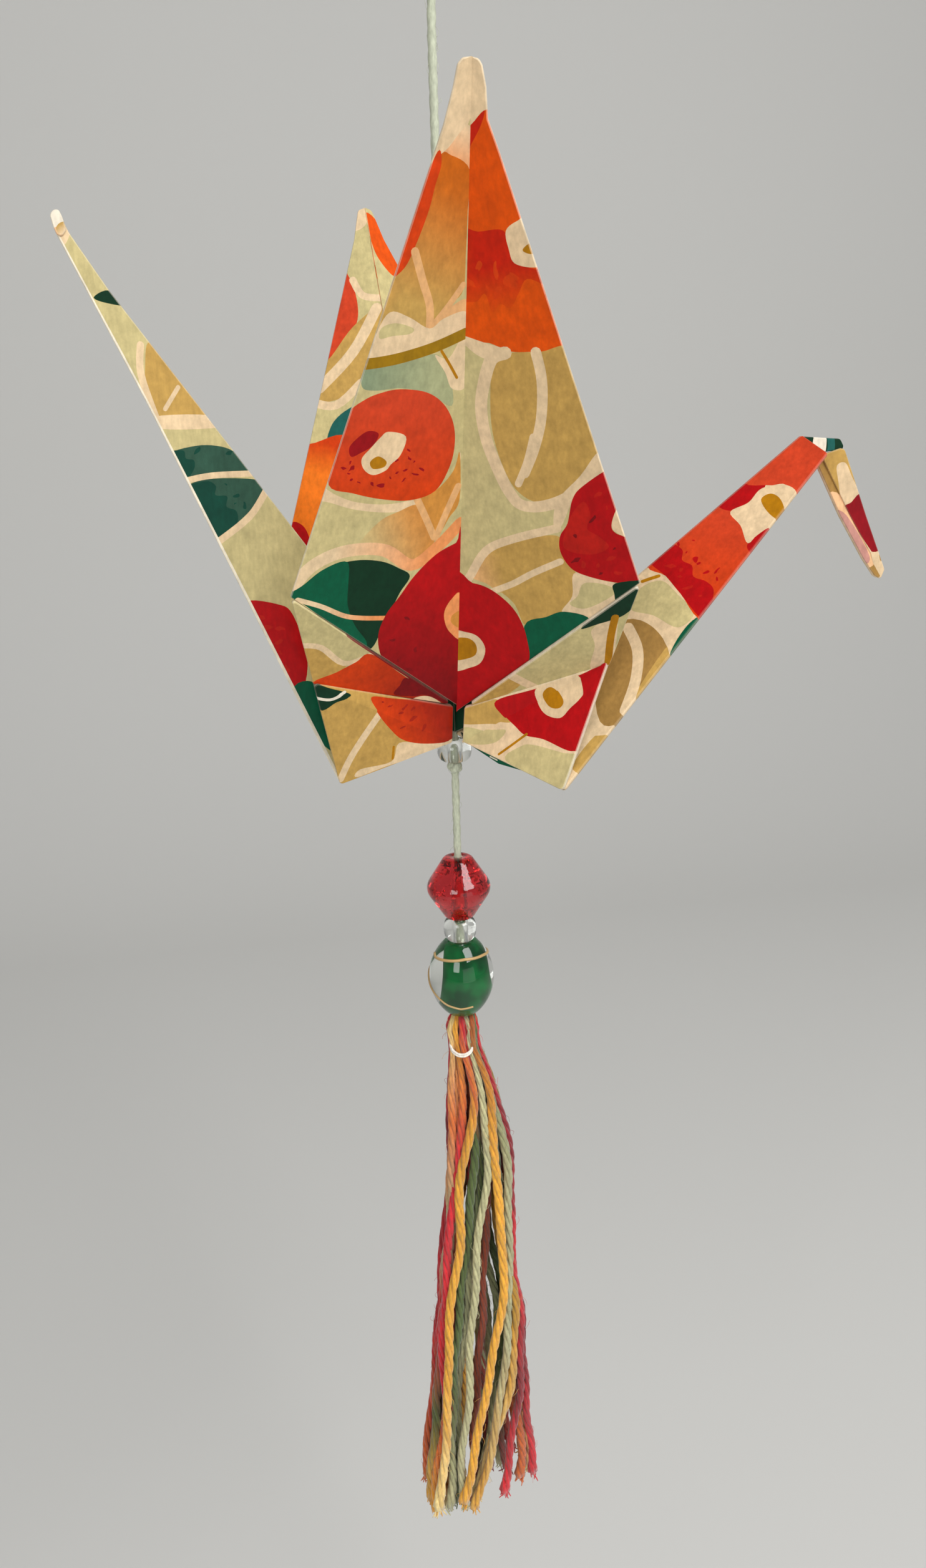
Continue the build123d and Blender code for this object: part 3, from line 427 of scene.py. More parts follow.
WING_TIP = {"front": rest(-0.023, -0.421, 0.549), "rear": rest(-0.065, 0.431, 0.540)}
WING_ROOT = rest(0, -0.040, -0.300)
BACK_FOOT = rest(0, -0.012, -0.355)
TAIL_SIDE = {
    "shoulder": rest(-0.269, -0.200, -0.084), "side": rest(-0.241, -0.101, -0.232),
    "lapel": rest(-0.008, -0.028, -0.301), "belly": rest(-0.009, -0.014, -0.366),
    "hip": rest(-0.204, -0.010, -0.427), "crotch": rest(-0.004, 0, -0.361),
}
NECK_SIDE = {
    "shoulder": rest(0.244, -0.264, -0.081), "side": rest(0.232, -0.153, -0.220),
    "lapel": rest(0.012, -0.056, -0.299), "belly": rest(0.009, -0.046, -0.363),
    "hip": rest(0.151, -0.175, -0.424), "crotch": rest(0.004, 0, -0.361),
}
TAIL_TIP = rest(-0.561, 0, 0.464)
NECK_TOP = rest(0.617, 0, 0.1165)
CHIN = rest(0.641, -0.047, 0.0876)
NAPE = rest(0.575, 0, 0.083)
CROWN = rest(0.685, 0, 0.111)
BROW = rest(0.695, 0, 0.0935)
CHEEK = rest(0.690, -0.009, 0.0945)
BEAK_TIP = rest(0.781, 0, -0.131)


def lay_flat(corners, triangles):
    """Flat places of a panel's corners: the first crease runs along v and the panel lies on +u."""
    a, b, c = triangles[0]
    along = corners[b] - corners[a]
    length = np.linalg.norm(along)
    along = along / length
    spoke = corners[c] - corners[a]
    reach = spoke @ along
    flat = {a: np.zeros(2), b: np.array([0, length])}
    flat[c] = np.array([np.linalg.norm(spoke - reach * along), reach])
    for triangle in triangles[1:]:
        new = [i for i in triangle if i not in flat][0]
        p, q = [i for i in triangle if i in flat]
        across = [i for i in triangles[0] if i not in (p, q)][0]
        edge = corners[q] - corners[p]
        length = np.linalg.norm(edge)
        spoke = corners[new] - corners[p]
        reach = spoke @ edge / length
        height = np.linalg.norm(spoke - edge * reach / length)
        way = (flat[q] - flat[p]) / length
        side = np.array([-way[1], way[0]])
        if (flat[across] - flat[p]) @ side > 0:
            side = -side
        flat[new] = flat[p] + way * reach + side * height
    return np.array([flat[i] for i in range(len(corners))])


def rounded(corners, radii):
    """Outline with each corner rounded to its radius."""
    out = []
    n = len(corners)
    for i, radius in enumerate(radii):
        at = corners[i]
        before, after = corners[i - 1] - at, corners[(i + 1) % n] - at
        lb, la = np.linalg.norm(before), np.linalg.norm(after)
        before, after = before / lb, after / la
        half = math.acos(max(-1, min(1, before @ after))) / 2
        share = radius / (radius + max(radii[i - 1], radii[(i + 1) % n]))
        cut = min(radius / math.tan(half), 0.9 * share * min(lb, la))
        if cut < 0.03:
            out.append(at)
            continue
        radius = cut * math.tan(half)
        middle = at + (before + after) / np.linalg.norm(before + after) * radius / math.sin(half)
        start, end = at + before * cut - middle, at + after * cut - middle
        for t in np.linspace(0, 1, 7):
            spoke = start * (1 - t) + end * t
            out.append(middle + spoke / np.linalg.norm(spoke) * radius)
    return np.array(out)


def within(points, outline):
    """Which points lie inside an outline."""
    x, y = points[:, 0:1], points[:, 1:2]
    x0, y0 = outline[:, 0], outline[:, 1]
    x1, y1 = np.roll(x0, -1), np.roll(y0, -1)
    with np.errstate(divide="ignore", invalid="ignore"):
        crossing = x0 + (y - y0) * (x1 - x0) / (y1 - y0)
    return (((y0 > y) != (y1 > y)) & (x < crossing)).sum(1) % 2 == 1


def depth_from(points, outline):
    """Distance from each point to an outline."""
    a = outline[None]
    e = np.roll(outline, -1, 0)[None] - a
    p = points[:, None] - a
    t = np.clip((p * e).sum(2) / np.maximum((e * e).sum(2), 1e-12), 0, 1)
    return np.linalg.norm(p - e * t[:, :, None], axis=2).min(1)


def drawn_in(outline, distance):
    """Outline moved inwards."""
    before, after = np.roll(outline, 1, 0), np.roll(outline, -1, 0)
    way = after - before
    way /= np.maximum(np.linalg.norm(way, axis=1), 1e-9)[:, None]
    side = np.stack([-way[:, 1], way[:, 0]], 1)
    area = (outline[:, 0] * after[:, 1] - after[:, 0] * outline[:, 1]).sum()
    return outline + side * distance * (1 if area > 0 else -1)


def inked(spots, faces, base, shapes, rim, worn):
    """Colour of each face's corners under the top ink there; the rim's ink is turned pale, partly by wear and
    partly as a painted highlight.
    """
    middles = spots[faces].mean(1)
    corner = np.broadcast_to(INK[base], (len(faces), 3, 3)).copy()
    for ink, outline, fade in shapes:
        low, high = outline.min(0), outline.max(0)
        near = np.where(((middles >= low) & (middles <= high)).all(1))[0]
        if not len(near):
            continue
        hit = near[within(middles[near], outline)]
        colour = np.broadcast_to(INK[ink], (len(hit), 3, 3))
        if fade:
            other, start, end = fade
            start, way = np.array(start), np.array(end) - np.array(start)
            t = np.clip(((spots[faces[hit]] - start) @ way) / (way @ way), 0, 1)[:, :, None]
            colour = colour * (1 - t) + INK[other] * t
        corner[hit] = colour
    # The rim turns towards the pale edge colour: worn ink and painted highlight.
    corner[rim] = corner[rim] * (1 - worn) + INK["edge"] * worn
    return corner


def cut_out(outline, shapes, crease):
    """Triangles that fill a leaf's outline and keep to its rim, its ink edges and its inner crease."""
    points, edges = [], []
    for ring in [outline, drawn_in(outline, EDGE_ROUND)] + [shape[1] for shape in shapes]:
        first = len(points)
        points += [tuple(p) for p in ring]
        edges += [(first + i, first + (i + 1) % len(ring)) for i in range(len(ring))]
    if crease:
        edges.append((len(points), len(points) + 1))
        points += [tuple(p) for p in crease]
    low, high = outline.min(0), outline.max(0)
    across = np.arange(low[0], high[0], TONE_STEP)
    along = np.arange(low[1], high[1], TONE_STEP)
    grid = np.array([(u, v) for u in across for v in along]) + TONE_STEP / 2
    grid = grid[within(grid, outline)]
    grid = grid[depth_from(grid, outline) > 2 * EDGE_ROUND] if len(grid) else grid
    points += [tuple(p) for p in grid]
    found = delaunay_2d_cdt([Vector(p) for p in points], edges, [], 0, 1e-4)
    spots = np.array([tuple(v) for v in found[0]])
    faces = np.array(found[2])
    faces = faces[within(spots[faces].mean(1), outline)]
    used, faces = np.unique(faces, return_inverse=True)
    return spots[used], faces.reshape(-1, 3)


def folded(spots, flat, corners, triangles, outward):
    """Where a leaf's flat spots lie once it is folded, and which way its outer face looks there."""
    places = np.zeros((len(spots), 3))
    normals = np.zeros((len(spots), 3))
    nearest = np.full(len(spots), -np.inf)
    for a, b, c in triangles:
        basis = np.linalg.inv(np.array([flat[b] - flat[a], flat[c] - flat[a]]).T)
        share = (spots - flat[a]) @ basis.T
        share = np.column_stack([1 - share.sum(1), share])
        inside = share.min(1)
        place = share @ np.array([corners[a], corners[b], corners[c]])
        normal = np.cross(corners[b] - corners[a], corners[c] - corners[a])
        normal /= np.linalg.norm(normal) * (1 if normal @ outward > 0 else -1)
        level = np.abs(inside - nearest) < 1e-5
        better = (inside > nearest) & ~level
        places[better | level] = place[better | level]
        normals[better] = normal
        normals[level] += normal
        nearest = np.maximum(nearest, inside)
    return places, normals / np.linalg.norm(normals, axis=1)[:, None]


def raw_edges(faces):
    """Edges that belong to one triangle only, each with that triangle."""
    lone = {}
    for f, (a, b, c) in enumerate(faces):
        for p, q in ((a, b), (b, c), (c, a)):
            if (q, p) in lone:
                del lone[(q, p)]
            else:
                lone[(p, q)] = f
    return lone


paper = {"spots": [], "faces": [], "tones": [], "soft": [], "count": 0}


def leaf(corners, triangles, loop, radii, inner, outer, outward, front, back,
         bases=("sage", "sage"), seam=False, worn=EDGE_WEAR_AND_SHINE):
    """Leaf of pressed plies with rounded edges, printed on both sides.

    Its loop goes round by corner number, or by flat place where the given edge leaves the crease.
    Inner and outer count the plies on either side of the crease points. A leaf with a seam butts
    against its twin along the first crease. Raw edges are turned pale, partly by wear and partly as a painted
    highlight.
    """
    corners = [np.array(c, float) for c in corners]
    flat = lay_flat(corners, triangles)
    outline = rounded(np.array([flat[i] if isinstance(i, int) else i for i in loop]), radii)
    crease = [flat[i] for i in triangles[0] if i in triangles[1]] if len(triangles) > 1 else []
    spots, faces = cut_out(outline, PRINT[front] + PRINT[back], crease)
    middles = spots[faces].mean(1)
    depth = depth_from(spots, outline)
    rim = depth_from(middles, outline) < EDGE_ROUND
    if seam:
        rim &= middles[:, 0] > EDGE_ROUND
        depth = np.where(spots[:, 0] > EDGE_ROUND, depth, EDGE_ROUND)
    fall = np.clip(1 - depth / EDGE_ROUND, 0, 1)
    # The edge of a thin leaf is rounded by a little less than half its thickness.
    round_over = min(EDGE_ROUND, (inner + outer) * PLY / 2.2)
    fall = round_over * (1 - np.sqrt(np.maximum(1 - fall**2, 0)))
    places, normals = folded(spots, flat, corners, triangles, outward)
    top = places + normals * (outer * PLY - fall)[:, None]
    under = places - normals * (inner * PLY - fall)[:, None]

    a, b, c = top[faces[0]]
    if np.cross(b - a, c - a) @ normals[faces[0][0]] < 0:
        faces = faces[:, ::-1]
    lone = raw_edges(faces)
    n = len(spots)
    wall = [(q, p, p + n) for p, q in lone] + [(q, p + n, q + n) for p, q in lone]
    outside = inked(spots, faces, bases[0], PRINT[front], rim, worn)
    inside = inked(spots, faces, bases[1], PRINT[back], rim, worn)
    # The cut edge itself is three times as pale as the rim beside it: bare paper and painted highlight.
    bare_and_shine = min(1, 3 * worn)
    pale = [0 if seam and max(spots[p][0], spots[q][0]) < EDGE_ROUND else bare_and_shine for p, q in lone]
    pale = np.array(pale)[:, None, None]
    shade = outside[list(lone.values())] * (1 - pale) + INK["edge"] * pale
    first = paper["count"]
    paper["spots"] += [top, under]
    paper["faces"] += [faces + first, faces[:, ::-1] + n + first, np.array(wall) + first]
    paper["tones"] += [outside, inside[:, ::-1], shade, shade]
    paper["soft"] += [rim, rim, np.ones(len(wall), bool)]
    paper["count"] += 2 * n


# Edges given point by point, where a leaf leaves its creases: places across and along the panel laid flat.
WING_RIM = {
    "front tail": [(2.6, 4.6), (1.75, 1.8), (1.35, 0.0), (0.9, -0.45)],
    "front neck": [(2.8, 6.8), (1.6, 4.2), (1.35, 1.7), (0.95, 0.1), (0.6, -0.4)],
    "rear tail": [(2.2, 4.2), (1.35, 1.2), (0.95, -0.1)],
    "rear neck": [(2.2, 4.2), (1.35, 1.2), (0.95, -0.1)],
}
TAIL_RIM = [
    (4.9, 20.6), (2.8, 9.1), (1.48, 2.0), (0.8, 0.1), (-0.2, 0.2), (0.28, 2.5), (0.6, 9.4), (0.4, 25.0),
]
TAIL_END = [
    (0.78, 0.05), (0.1, -0.1), (-0.34, 0.2), (-0.2, 0.85), (0.3, 2.2), (1.1, 2.45), (1.5, 2.05), (1.28, 1.24),
]
BEAK_NEAR = [
    (0.85, 3.4), (0.4, 12.4), (0.36, 18.4), (-0.5, 21.5), (-0.1, 22.3), (0.95, 21.4), (2.15, 13.6),
    (3.75, 4.2),
]
BEAK_FAR = [
    (-0.1, 3.4), (-0.85, 11.5), (-0.95, 18.3), (-0.75, 21.2), (-0.3, 22.1), (0.9, 21.3), (3.7, 4.3),
]
# Prints on the outside of the wing, shoulder and lapel, and on the inside of each wing.
FRONT = {
    "tail": ("wing_tail", "shoulder_tail", "lapel_tail"),
    "neck": ("wing_neck", "shoulder_neck", "lapel_neck"),
}
INSIDE = {"front": ("rear_tail", "wing_neck"), "rear": ("rear_tail", "rear_neck")}
# A leaf of one triangle, and one of two that share a crease.
ONE, TWO = [(0, 1, 2)], [(0, 1, 2), (1, 3, 2)]
OUTWARD = {"front": np.array([0, -1.0, 0]), "rear": np.array([0, 1.0, 0])}
TAIL_END_PLIES = 3.4
BROW_R = [0.4, 0.6, 0.5, 0.1]
# The slip runs along this share of the lapel's lower edge and hangs from it.
SLIP_START, SLIP_MIDDLE, SLIP_END = 0.04, 0.36, 0.62
SLIP_DROP, SLIP_R = np.array([0, 0.3, -0.75]), 0.3


def placed(point, side):
    """A place on the front, or the same place on the rear."""
    return point if side == "front" else point * np.array([1, -1, 1])


def fold_body(side, limb, points):
    """The wing half, shoulder, lapel and inner folds on one side of the body, towards tail or neck."""
    outward = OUTWARD[side]
    tip, root, foot = WING_TIP[side], placed(WING_ROOT, side), placed(BACK_FOOT, side)
    p = {name: placed(place, side) for name, place in points.items()}
    to_tail = limb == "tail"
    # Behind, the side towards the tail is printed as the front is towards the neck.
    shown = limb if side == "front" else ("neck" if to_tail else "tail")
    wing, shoulder, lapel = FRONT[shown]
    crease = np.linalg.norm(tip - root)
    along = (tip - root) / crease
    split = p["shoulder"] - root
    split = split - along * (split @ along)
    split = split / np.linalg.norm(split) * SEAM_GAP
    rim = WING_RIM[f"{side} {limb}"]
    loop = [(0, rim[-1][1] - SEAM_RISE), 1 if to_tail else (0, crease + WING_TUCK), 2, *rim]
    leaf([tip + split, root + split, p["shoulder"]], ONE, loop, [SEAM_R, SEAM_R, FOLD_R] + [TIP_R] * len(rim),
         1, 1, outward, wing, INSIDE[side][0 if to_tail else 1], seam=True)
    worn = FOLD_WEAR_AND_SHINE if to_tail else EDGE_WEAR_AND_SHINE
    loop = [(-SHOULDER_TUCK, 0) if to_tail else 0, 1, 2]
    leaf([p["lapel"], p["shoulder"], p["side"]], ONE, loop, [FOLD_R] * 3,
         1, 3, outward, shoulder, "plain", worn=worn)
    leaf([p["lapel"], p["side"], p["belly"], p["hip"]], TWO, [0, 1, 3, 2], [FOLD_R, FOLD_R, HIP_R, FOLD_R],
         1, 5, outward, lapel, "lining", ("tan" if shown == "tail" else "cream", "sage"), worn=worn)
    reach = (TAIL_TIP if to_tail else NECK_TOP) - p["crotch"]
    gusset = p["crotch"] + reach * (GUSSET_DEPTH / np.linalg.norm(reach))
    for inner in (foot, gusset):
        leaf([PEAK, inner, p["side"]], ONE, [0, 1, 2], [SEAM_R, SEAM_R, FOLD_R],
             0.5, 0.5, outward, "foot", "back")
    # Inner folds seen through the slit between the lapels: dark green on both faces instead of the plain
    # paper's sage, painted shade.
    for outer in ("side", "belly"):
        leaf([p[outer], p["hip"], gusset], ONE, [0, 1, 2], [FOLD_R, FOLD_R, SEAM_R],
             0.5, 0.5, outward, "plain", "plain", ("bottle", "bottle"))


def fold_limbs(side):
    """The tail, neck and beak leaves on one side."""
    outward = OUTWARD[side]
    leaf([TAIL_TIP, TAIL_SIDE["crotch"], placed(TAIL_SIDE["hip"], side)], ONE, [1, 2, *TAIL_RIM],
         [FOLD_R, HIP_R] + [TIP_R] * len(TAIL_RIM), 2, 2, outward, "tail", "tail")
    chin, hip = placed(CHIN, side), placed(NECK_SIDE["hip"], side)
    leaf([NECK_TOP, NECK_SIDE["crotch"], chin, hip], TWO, [0, 1, 3, 2], [FOLD_R, FOLD_R, HIP_R, FOLD_R],
         2, 2, outward, "neck", "neck", ("cream", "cream"), worn=NECK_WEAR_AND_SHINE)
    beak, under = (BEAK_NEAR, "plain") if side == "front" else (BEAK_FAR, "beak_far")
    leaf([NECK_TOP, BEAK_TIP, placed(CHEEK, side)], ONE, beak, [TIP_R] * len(beak),
         2, 2, outward, "beak", under, ("cream", "umbertan"), worn=BEAK_WEAR_AND_SHINE)


def fold_crane():
    """Every leaf of the crane, front and rear, then the tail's tip, the brow and the slip under the lapel."""
    for side in ("front", "rear"):
        fold_body(side, "tail", TAIL_SIDE)
        fold_body(side, "neck", NECK_SIDE)
        fold_limbs(side)
    front = OUTWARD["front"]
    leaf([TAIL_TIP, TAIL_SIDE["crotch"], TAIL_SIDE["hip"]], ONE, TAIL_END, [TIP_R] * len(TAIL_END),
         0, TAIL_END_PLIES, front, "tail_end", "plain", ("creampeach", "cream"))
    leaf([NECK_TOP, CROWN, BROW, NAPE], [(0, 1, 2), (0, 2, 3)], [0, 1, 2, 3], BROW_R,
         2, 2, front, "brow", "brow", ("bottle", "bottle"), worn=0)
    start, run = NECK_SIDE["belly"], NECK_SIDE["hip"] - NECK_SIDE["belly"]
    hang = start + run * SLIP_MIDDLE + SLIP_DROP
    leaf([start + run * SLIP_START, start + run * SLIP_END, hang], ONE, [0, 1, 2], [SEAM_R, SEAM_R, SLIP_R],
         0.5, 0.5, front, "slip", "plain", ("viridian", "bottle"), worn=0)


def mesh_piece(name, spots, faces, finish, smooth=True):
    """Mesh object from places in millimetres."""
    mesh = bpy.data.meshes.new(name)
    mesh.from_pydata((np.asarray(spots) * MM).tolist(), [], [tuple(f) for f in faces])
    mesh.polygons.foreach_set("use_smooth", np.broadcast_to(smooth, len(mesh.polygons)).astype(bool))
    mesh.update()
    piece = bpy.data.objects.new(name, mesh)
    bpy.context.collection.objects.link(piece)
    mesh.materials.append(finish)
    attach(piece, "root")
    return piece


def tone(mesh, name, domain, tones):
    """Colour at each face corner or each point."""
    layer = mesh.color_attributes.new(name, "FLOAT_COLOR", domain)
    tones = np.asarray(tones, np.float32).reshape(-1, 3)
    layer.data.foreach_set("color", np.column_stack([tones, np.ones(len(tones))]).astype(np.float32).ravel())


# Materials

def material(name):
    """New material and its surface."""
    made = bpy.data.materials.new(name)
    made.use_nodes = True
    return made, made.node_tree.nodes["Principled BSDF"]


def add(made, kind, settings=(), **links):
    """Node of a kind with its settings, and links into its sockets by name."""
    node = made.node_tree.nodes.new("ShaderNode" + kind)
    for key, value in dict(settings).items():
        if hasattr(node, key):
            setattr(node, key, value)
        else:
            node.inputs[key].default_value = value
    for key, source in links.items():
        made.node_tree.links.new(source, node.inputs[key.replace("_", " ")])
    return node


def join(made, source, shader, socket):
    """Link an output to a socket by name or number."""
    made.node_tree.links.new(source, shader.inputs[socket])


def printed_washi():
    """Printed mulberry paper under brushed gloss varnish: fibre flecks, soft cockles, a wet-looking coat."""
    made, skin = material("printed_washi")
    where = add(made, "TexCoord").outputs["Object"]
    ink = add(made, "Attribute", {"attribute_name": "print"}).outputs["Color"]
    mottle = add(made, "TexNoise", {"Scale": 1 / (1.7 * MM), "Detail": 6, "Roughness": 0.7}, Vector=where)
    worn = add(made, "MapRange", {"From Min": 0.3, "From Max": 0.7, "To Min": 0.82, "To Max": 1.12},
               Value=mottle.outputs["Fac"])
    stretch = add(made, "Mapping", {"Scale": (1, 1, 0.25), "Rotation": (0.5, 0.3, 0.4)}, Vector=where)
    # Mulberry fibres are finer; they are drawn 0.45 mm wide so that they show.
    fibre = add(made, "TexNoise", {"Scale": 1 / (0.45 * MM), "Detail": 3}, Vector=stretch.outputs["Vector"])
    strands = add(made, "MapRange", {"From Min": 0.3, "From Max": 0.7, "To Min": 0.9, "To Max": 1.08},
                  Value=fibre.outputs["Fac"])
    shade = add(made, "VectorMath", {"operation": "MULTIPLY"})
    join(made, ink, shade, 0)
    join(made, worn.outputs["Result"], shade, 1)
    fibrous = add(made, "VectorMath", {"operation": "MULTIPLY"})
    join(made, shade.outputs["Vector"], fibrous, 0)
    join(made, strands.outputs["Result"], fibrous, 1)
    join(made, fibrous.outputs["Vector"], skin, "Base Color")
    cockle = add(made, "TexNoise", {"Scale": 1 / (9 * MM), "Detail": 1}, Vector=where)
    waves = add(made, "Bump", {"Strength": 0.25, "Distance": 0.5 * MM}, Height=cockle.outputs["Fac"])
    relief = add(made, "Bump", {"Strength": 0.35, "Distance": 0.05 * MM}, Height=fibre.outputs["Fac"],
                 Normal=waves.outputs["Normal"])
    join(made, relief.outputs["Normal"], skin, "Normal")
    skin.inputs["Roughness"].default_value = 0.6
    skin.inputs["Specular IOR Level"].default_value = 0.1
    skin.inputs["Coat Weight"].default_value = 0.1
    skin.inputs["Coat Roughness"].default_value = 0.18
    return made


def glass(name, colour, roughness=0.02, ior=1.52):
    """Pressed bead glass: clear right through, with a bright skin."""
    made, skin = material(name)
    skin.inputs["Base Color"].default_value = (*linear(colour), 1)
    skin.inputs["Roughness"].default_value = roughness
    skin.inputs["IOR"].default_value = ior
    skin.inputs["Transmission Weight"].default_value = 1.0
    return made, skin


def spun_thread(name, colour=None, sheen=0.25):
    """Soft spun cotton: matt fibres along the twist, a little sheen at the edges."""
    made, skin = material(name)
    where = add(made, "TexCoord").outputs["Object"]
    stretch = add(made, "Mapping", {"Scale": (1, 1, 0.3)}, Vector=where)
    # Cotton fibres are far finer; they are drawn 0.25 mm wide so that they show.
    fibre = add(made, "TexNoise", {"Scale": 1 / (0.25 * MM), "Detail": 4}, Vector=stretch.outputs["Vector"])
    worn = add(made, "MapRange", {"From Min": 0.3, "From Max": 0.7, "To Min": 0.75, "To Max": 1.12},
               Value=fibre.outputs["Fac"])
    shade = add(made, "VectorMath", {"operation": "MULTIPLY"})
    if colour:
        shade.inputs[0].default_value = linear(colour)
    else:
        join(made, add(made, "Attribute", {"attribute_name": "dye"}).outputs["Color"], shade, 0)
    join(made, worn.outputs["Result"], shade, 1)
    join(made, shade.outputs["Vector"], skin, "Base Color")
    relief = add(made, "Bump", {"Strength": 0.5, "Distance": 0.06 * MM}, Height=fibre.outputs["Fac"])
    join(made, relief.outputs["Normal"], skin, "Normal")
    skin.inputs["Roughness"].default_value = 0.85
    skin.inputs["Sheen Weight"].default_value = sheen
    return made


def plain_finish(name, colour, roughness, metallic=0.0):
    """One colour at one gloss, for what is too small or too plain to show more."""
    made, skin = material(name)
    skin.inputs["Base Color"].default_value = (*linear(colour), 1)
    skin.inputs["Roughness"].default_value = roughness
    skin.inputs["Metallic"].default_value = metallic
    return made


# Crane

fold_crane()
crane = mesh_piece("crane_paper", np.concatenate(paper["spots"]), np.concatenate(paper["faces"]),
                   printed_washi(), np.concatenate(paper["soft"]))
tone(crane.data, "print", "CORNER", np.concatenate(paper["tones"]))
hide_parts("crane")


# Cord, and the heights of what hangs on it

CORD_D = 1.0
CORD_PITCH, CORD_PLIES = 4.2, 2
LOOP_KNOT = -20.5
STOP_BEAD, BICONE = -111.3, -130.5
STOP_BEAD_H, BICONE_H, SPACER_BEAD_H, OVAL_H = 2.9, 8.8, 3.4, 10.8
STOP_KNOT_H = 1.6
SPACER_BEAD = BICONE - (BICONE_H + SPACER_BEAD_H) / 2
OVAL = SPACER_BEAD - (SPACER_BEAD_H + OVAL_H) / 2
TASSEL_TOP = OVAL - OVAL_H / 2
CORD_END = TASSEL_TOP - 2.6
# Loose fibres are finer than this; they are drawn so thick that they show.
FIBRE_D = 0.045
CORD_FIBRES, STRAND_FIBRES = 110, 26


def route(name, points):
    """Points along the smooth line that a cord follows."""
    curve = bpy.data.curves.new(name, "CURVE")
    curve.dimensions = "3D"
    spline = curve.splines.new("NURBS")
    spline.points.add(len(points) - 1)
    for knot, p in zip(spline.points, points):
        knot.co = (*[x * MM for x in p], 1)
    spline.order_u = 3
    spline.use_endpoint_u = True
    spline.resolution_u = 24
    line = bpy.data.objects.new(name, curve)
    bpy.context.collection.objects.link(line)
    bpy.context.view_layer.update()
    mesh = bpy.data.meshes.new_from_object(line.evaluated_get(bpy.context.evaluated_depsgraph_get()))
    places = np.array([v.co[:] for v in mesh.vertices]) / MM
    bpy.data.objects.remove(line)
    bpy.data.meshes.remove(mesh)
    return places


def even(places, step):
    """The same line with points an even step apart."""
    run = np.concatenate([[0], np.cumsum(np.linalg.norm(np.diff(places, axis=0), axis=1))])
    at = np.linspace(0, run[-1], max(2, int(run[-1] / step)))
    return np.column_stack([np.interp(at, run, places[:, k]) for k in range(3)]), at


def twisted(places, at, width, pitch, lobes, sides=12, depth=0.2, swell=None):
    """Rope of plies laid round each other along a line."""
    way = np.gradient(places, axis=0)
    way /= np.linalg.norm(way, axis=1)[:, None]
    side = np.cross(way[0], [0, 1, 0.2])
    spots = []
    angle = np.arange(sides) * 2 * math.pi / sides
    for i, place in enumerate(places):
        side = side - way[i] * (side @ way[i])
        side = side / np.linalg.norm(side)
        up = np.cross(way[i], side)
        turn = angle - at[i] * 2 * math.pi / pitch
        r = width / 2 * (1 - depth + depth * np.abs(np.cos(turn * lobes / 2)) ** 0.7)
        if swell is not None:
            r = r * swell[i]
        spots.append(place + np.outer(r * np.cos(angle), side) + np.outer(r * np.sin(angle), up))
    faces = []
    for i in range(len(places) - 1):
        for k in range(sides):
            j = (k + 1) % sides
            faces.append((i * sides + k, i * sides + j, (i + 1) * sides + j, (i + 1) * sides + k))
    last = (len(places) - 1) * sides
    faces += [tuple(range(sides))[::-1], tuple(range(last, last + sides))]
    return np.concatenate(spots), faces


def round_thread(places, width, sides, swell=None):
    """Smooth round thread along a line."""
    return twisted(places, np.zeros(len(places)), width, CORD_PITCH, CORD_PLIES, sides, 0, swell)


def fibres(chance, line, reach, count, length):
    """Loose fibres standing off a thread, and where along it each one starts."""
    way = np.gradient(line, axis=0)
    way /= np.linalg.norm(way, axis=1)[:, None]
    made, places = [], []
    for _ in range(count):
        i = chance.randrange(len(line))
        out = np.cross(way[i], [chance.gauss(0, 1) for _ in range(3)])
        out /= np.linalg.norm(out)
        run = way[i] * chance.choice((-1, 1)) * length * chance.uniform(0.5, 1.3)
        far = out * length * chance.uniform(0.1, 0.5)
        start = line[i] + out * reach * 0.75
        end = start + run + far * chance.uniform(0.3, 1.6)
        made.append(round_thread(curve_through([start, start + run * 0.5 + far, end], False, 3), FIBRE_D, 3))
        places.append(i)
    return made, places


def gathered(parts):
    """Places and faces of many parts as one mesh."""
    faces, count = [], 0
    for spots, skin in parts:
        faces += [tuple(k + count for k in face) for face in skin]
        count += len(spots)
    return np.concatenate([spots for spots, _ in parts]), faces


cotton = spun_thread("cotton_cord", "#BFC4AC")
cord_route = route("cord_route", [
    (0, 0, CORD_END), (0, 0, -120), (0, 0, -80), (0, 0, -40), (0, 0, -24), (0.9, 0, -17), (4.3, 0, -7),
    (4.6, 0, 0.5), (-4.6, 0, 0.5), (-4.3, 0, -7), (-0.9, 0, -17), (0, 0, LOOP_KNOT - 0.5),
])
cord_line, cord_at = even(cord_route, 0.3)
cord = mesh_piece("cord", *twisted(cord_line, cord_at, CORD_D * 1.06, CORD_PITCH, CORD_PLIES), cotton)
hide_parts("hanging_cord")


def tied_knot(name, middle, width, height):
    """Overhand knot pulled tight: one strand wound over and through itself."""
    t = np.linspace(0, 2 * math.pi, 90, endpoint=False)
    line = np.column_stack([np.sin(t) + 2 * np.sin(2 * t), np.cos(t) - 2 * np.cos(2 * t), -np.sin(3 * t)])
    line *= np.array([(width - CORD_D) / 6, (width - CORD_D) / 6, (height - CORD_D) / 2])
    line = np.concatenate([line, line[:2]]) + np.array([0, 0, middle])
    at = np.arange(len(line)) * 0.15
    return mesh_piece(name, *twisted(line, at, CORD_D * 1.02, CORD_PITCH, CORD_PLIES), cotton)


def cord_fuzz():
    """Loose fibres all along the cord."""
    loose, _ = fibres(random.Random(3), cord_line, CORD_D / 2, CORD_FIBRES, 1.1)
    return mesh_piece("cord_fuzz", *gathered(loose), cotton)


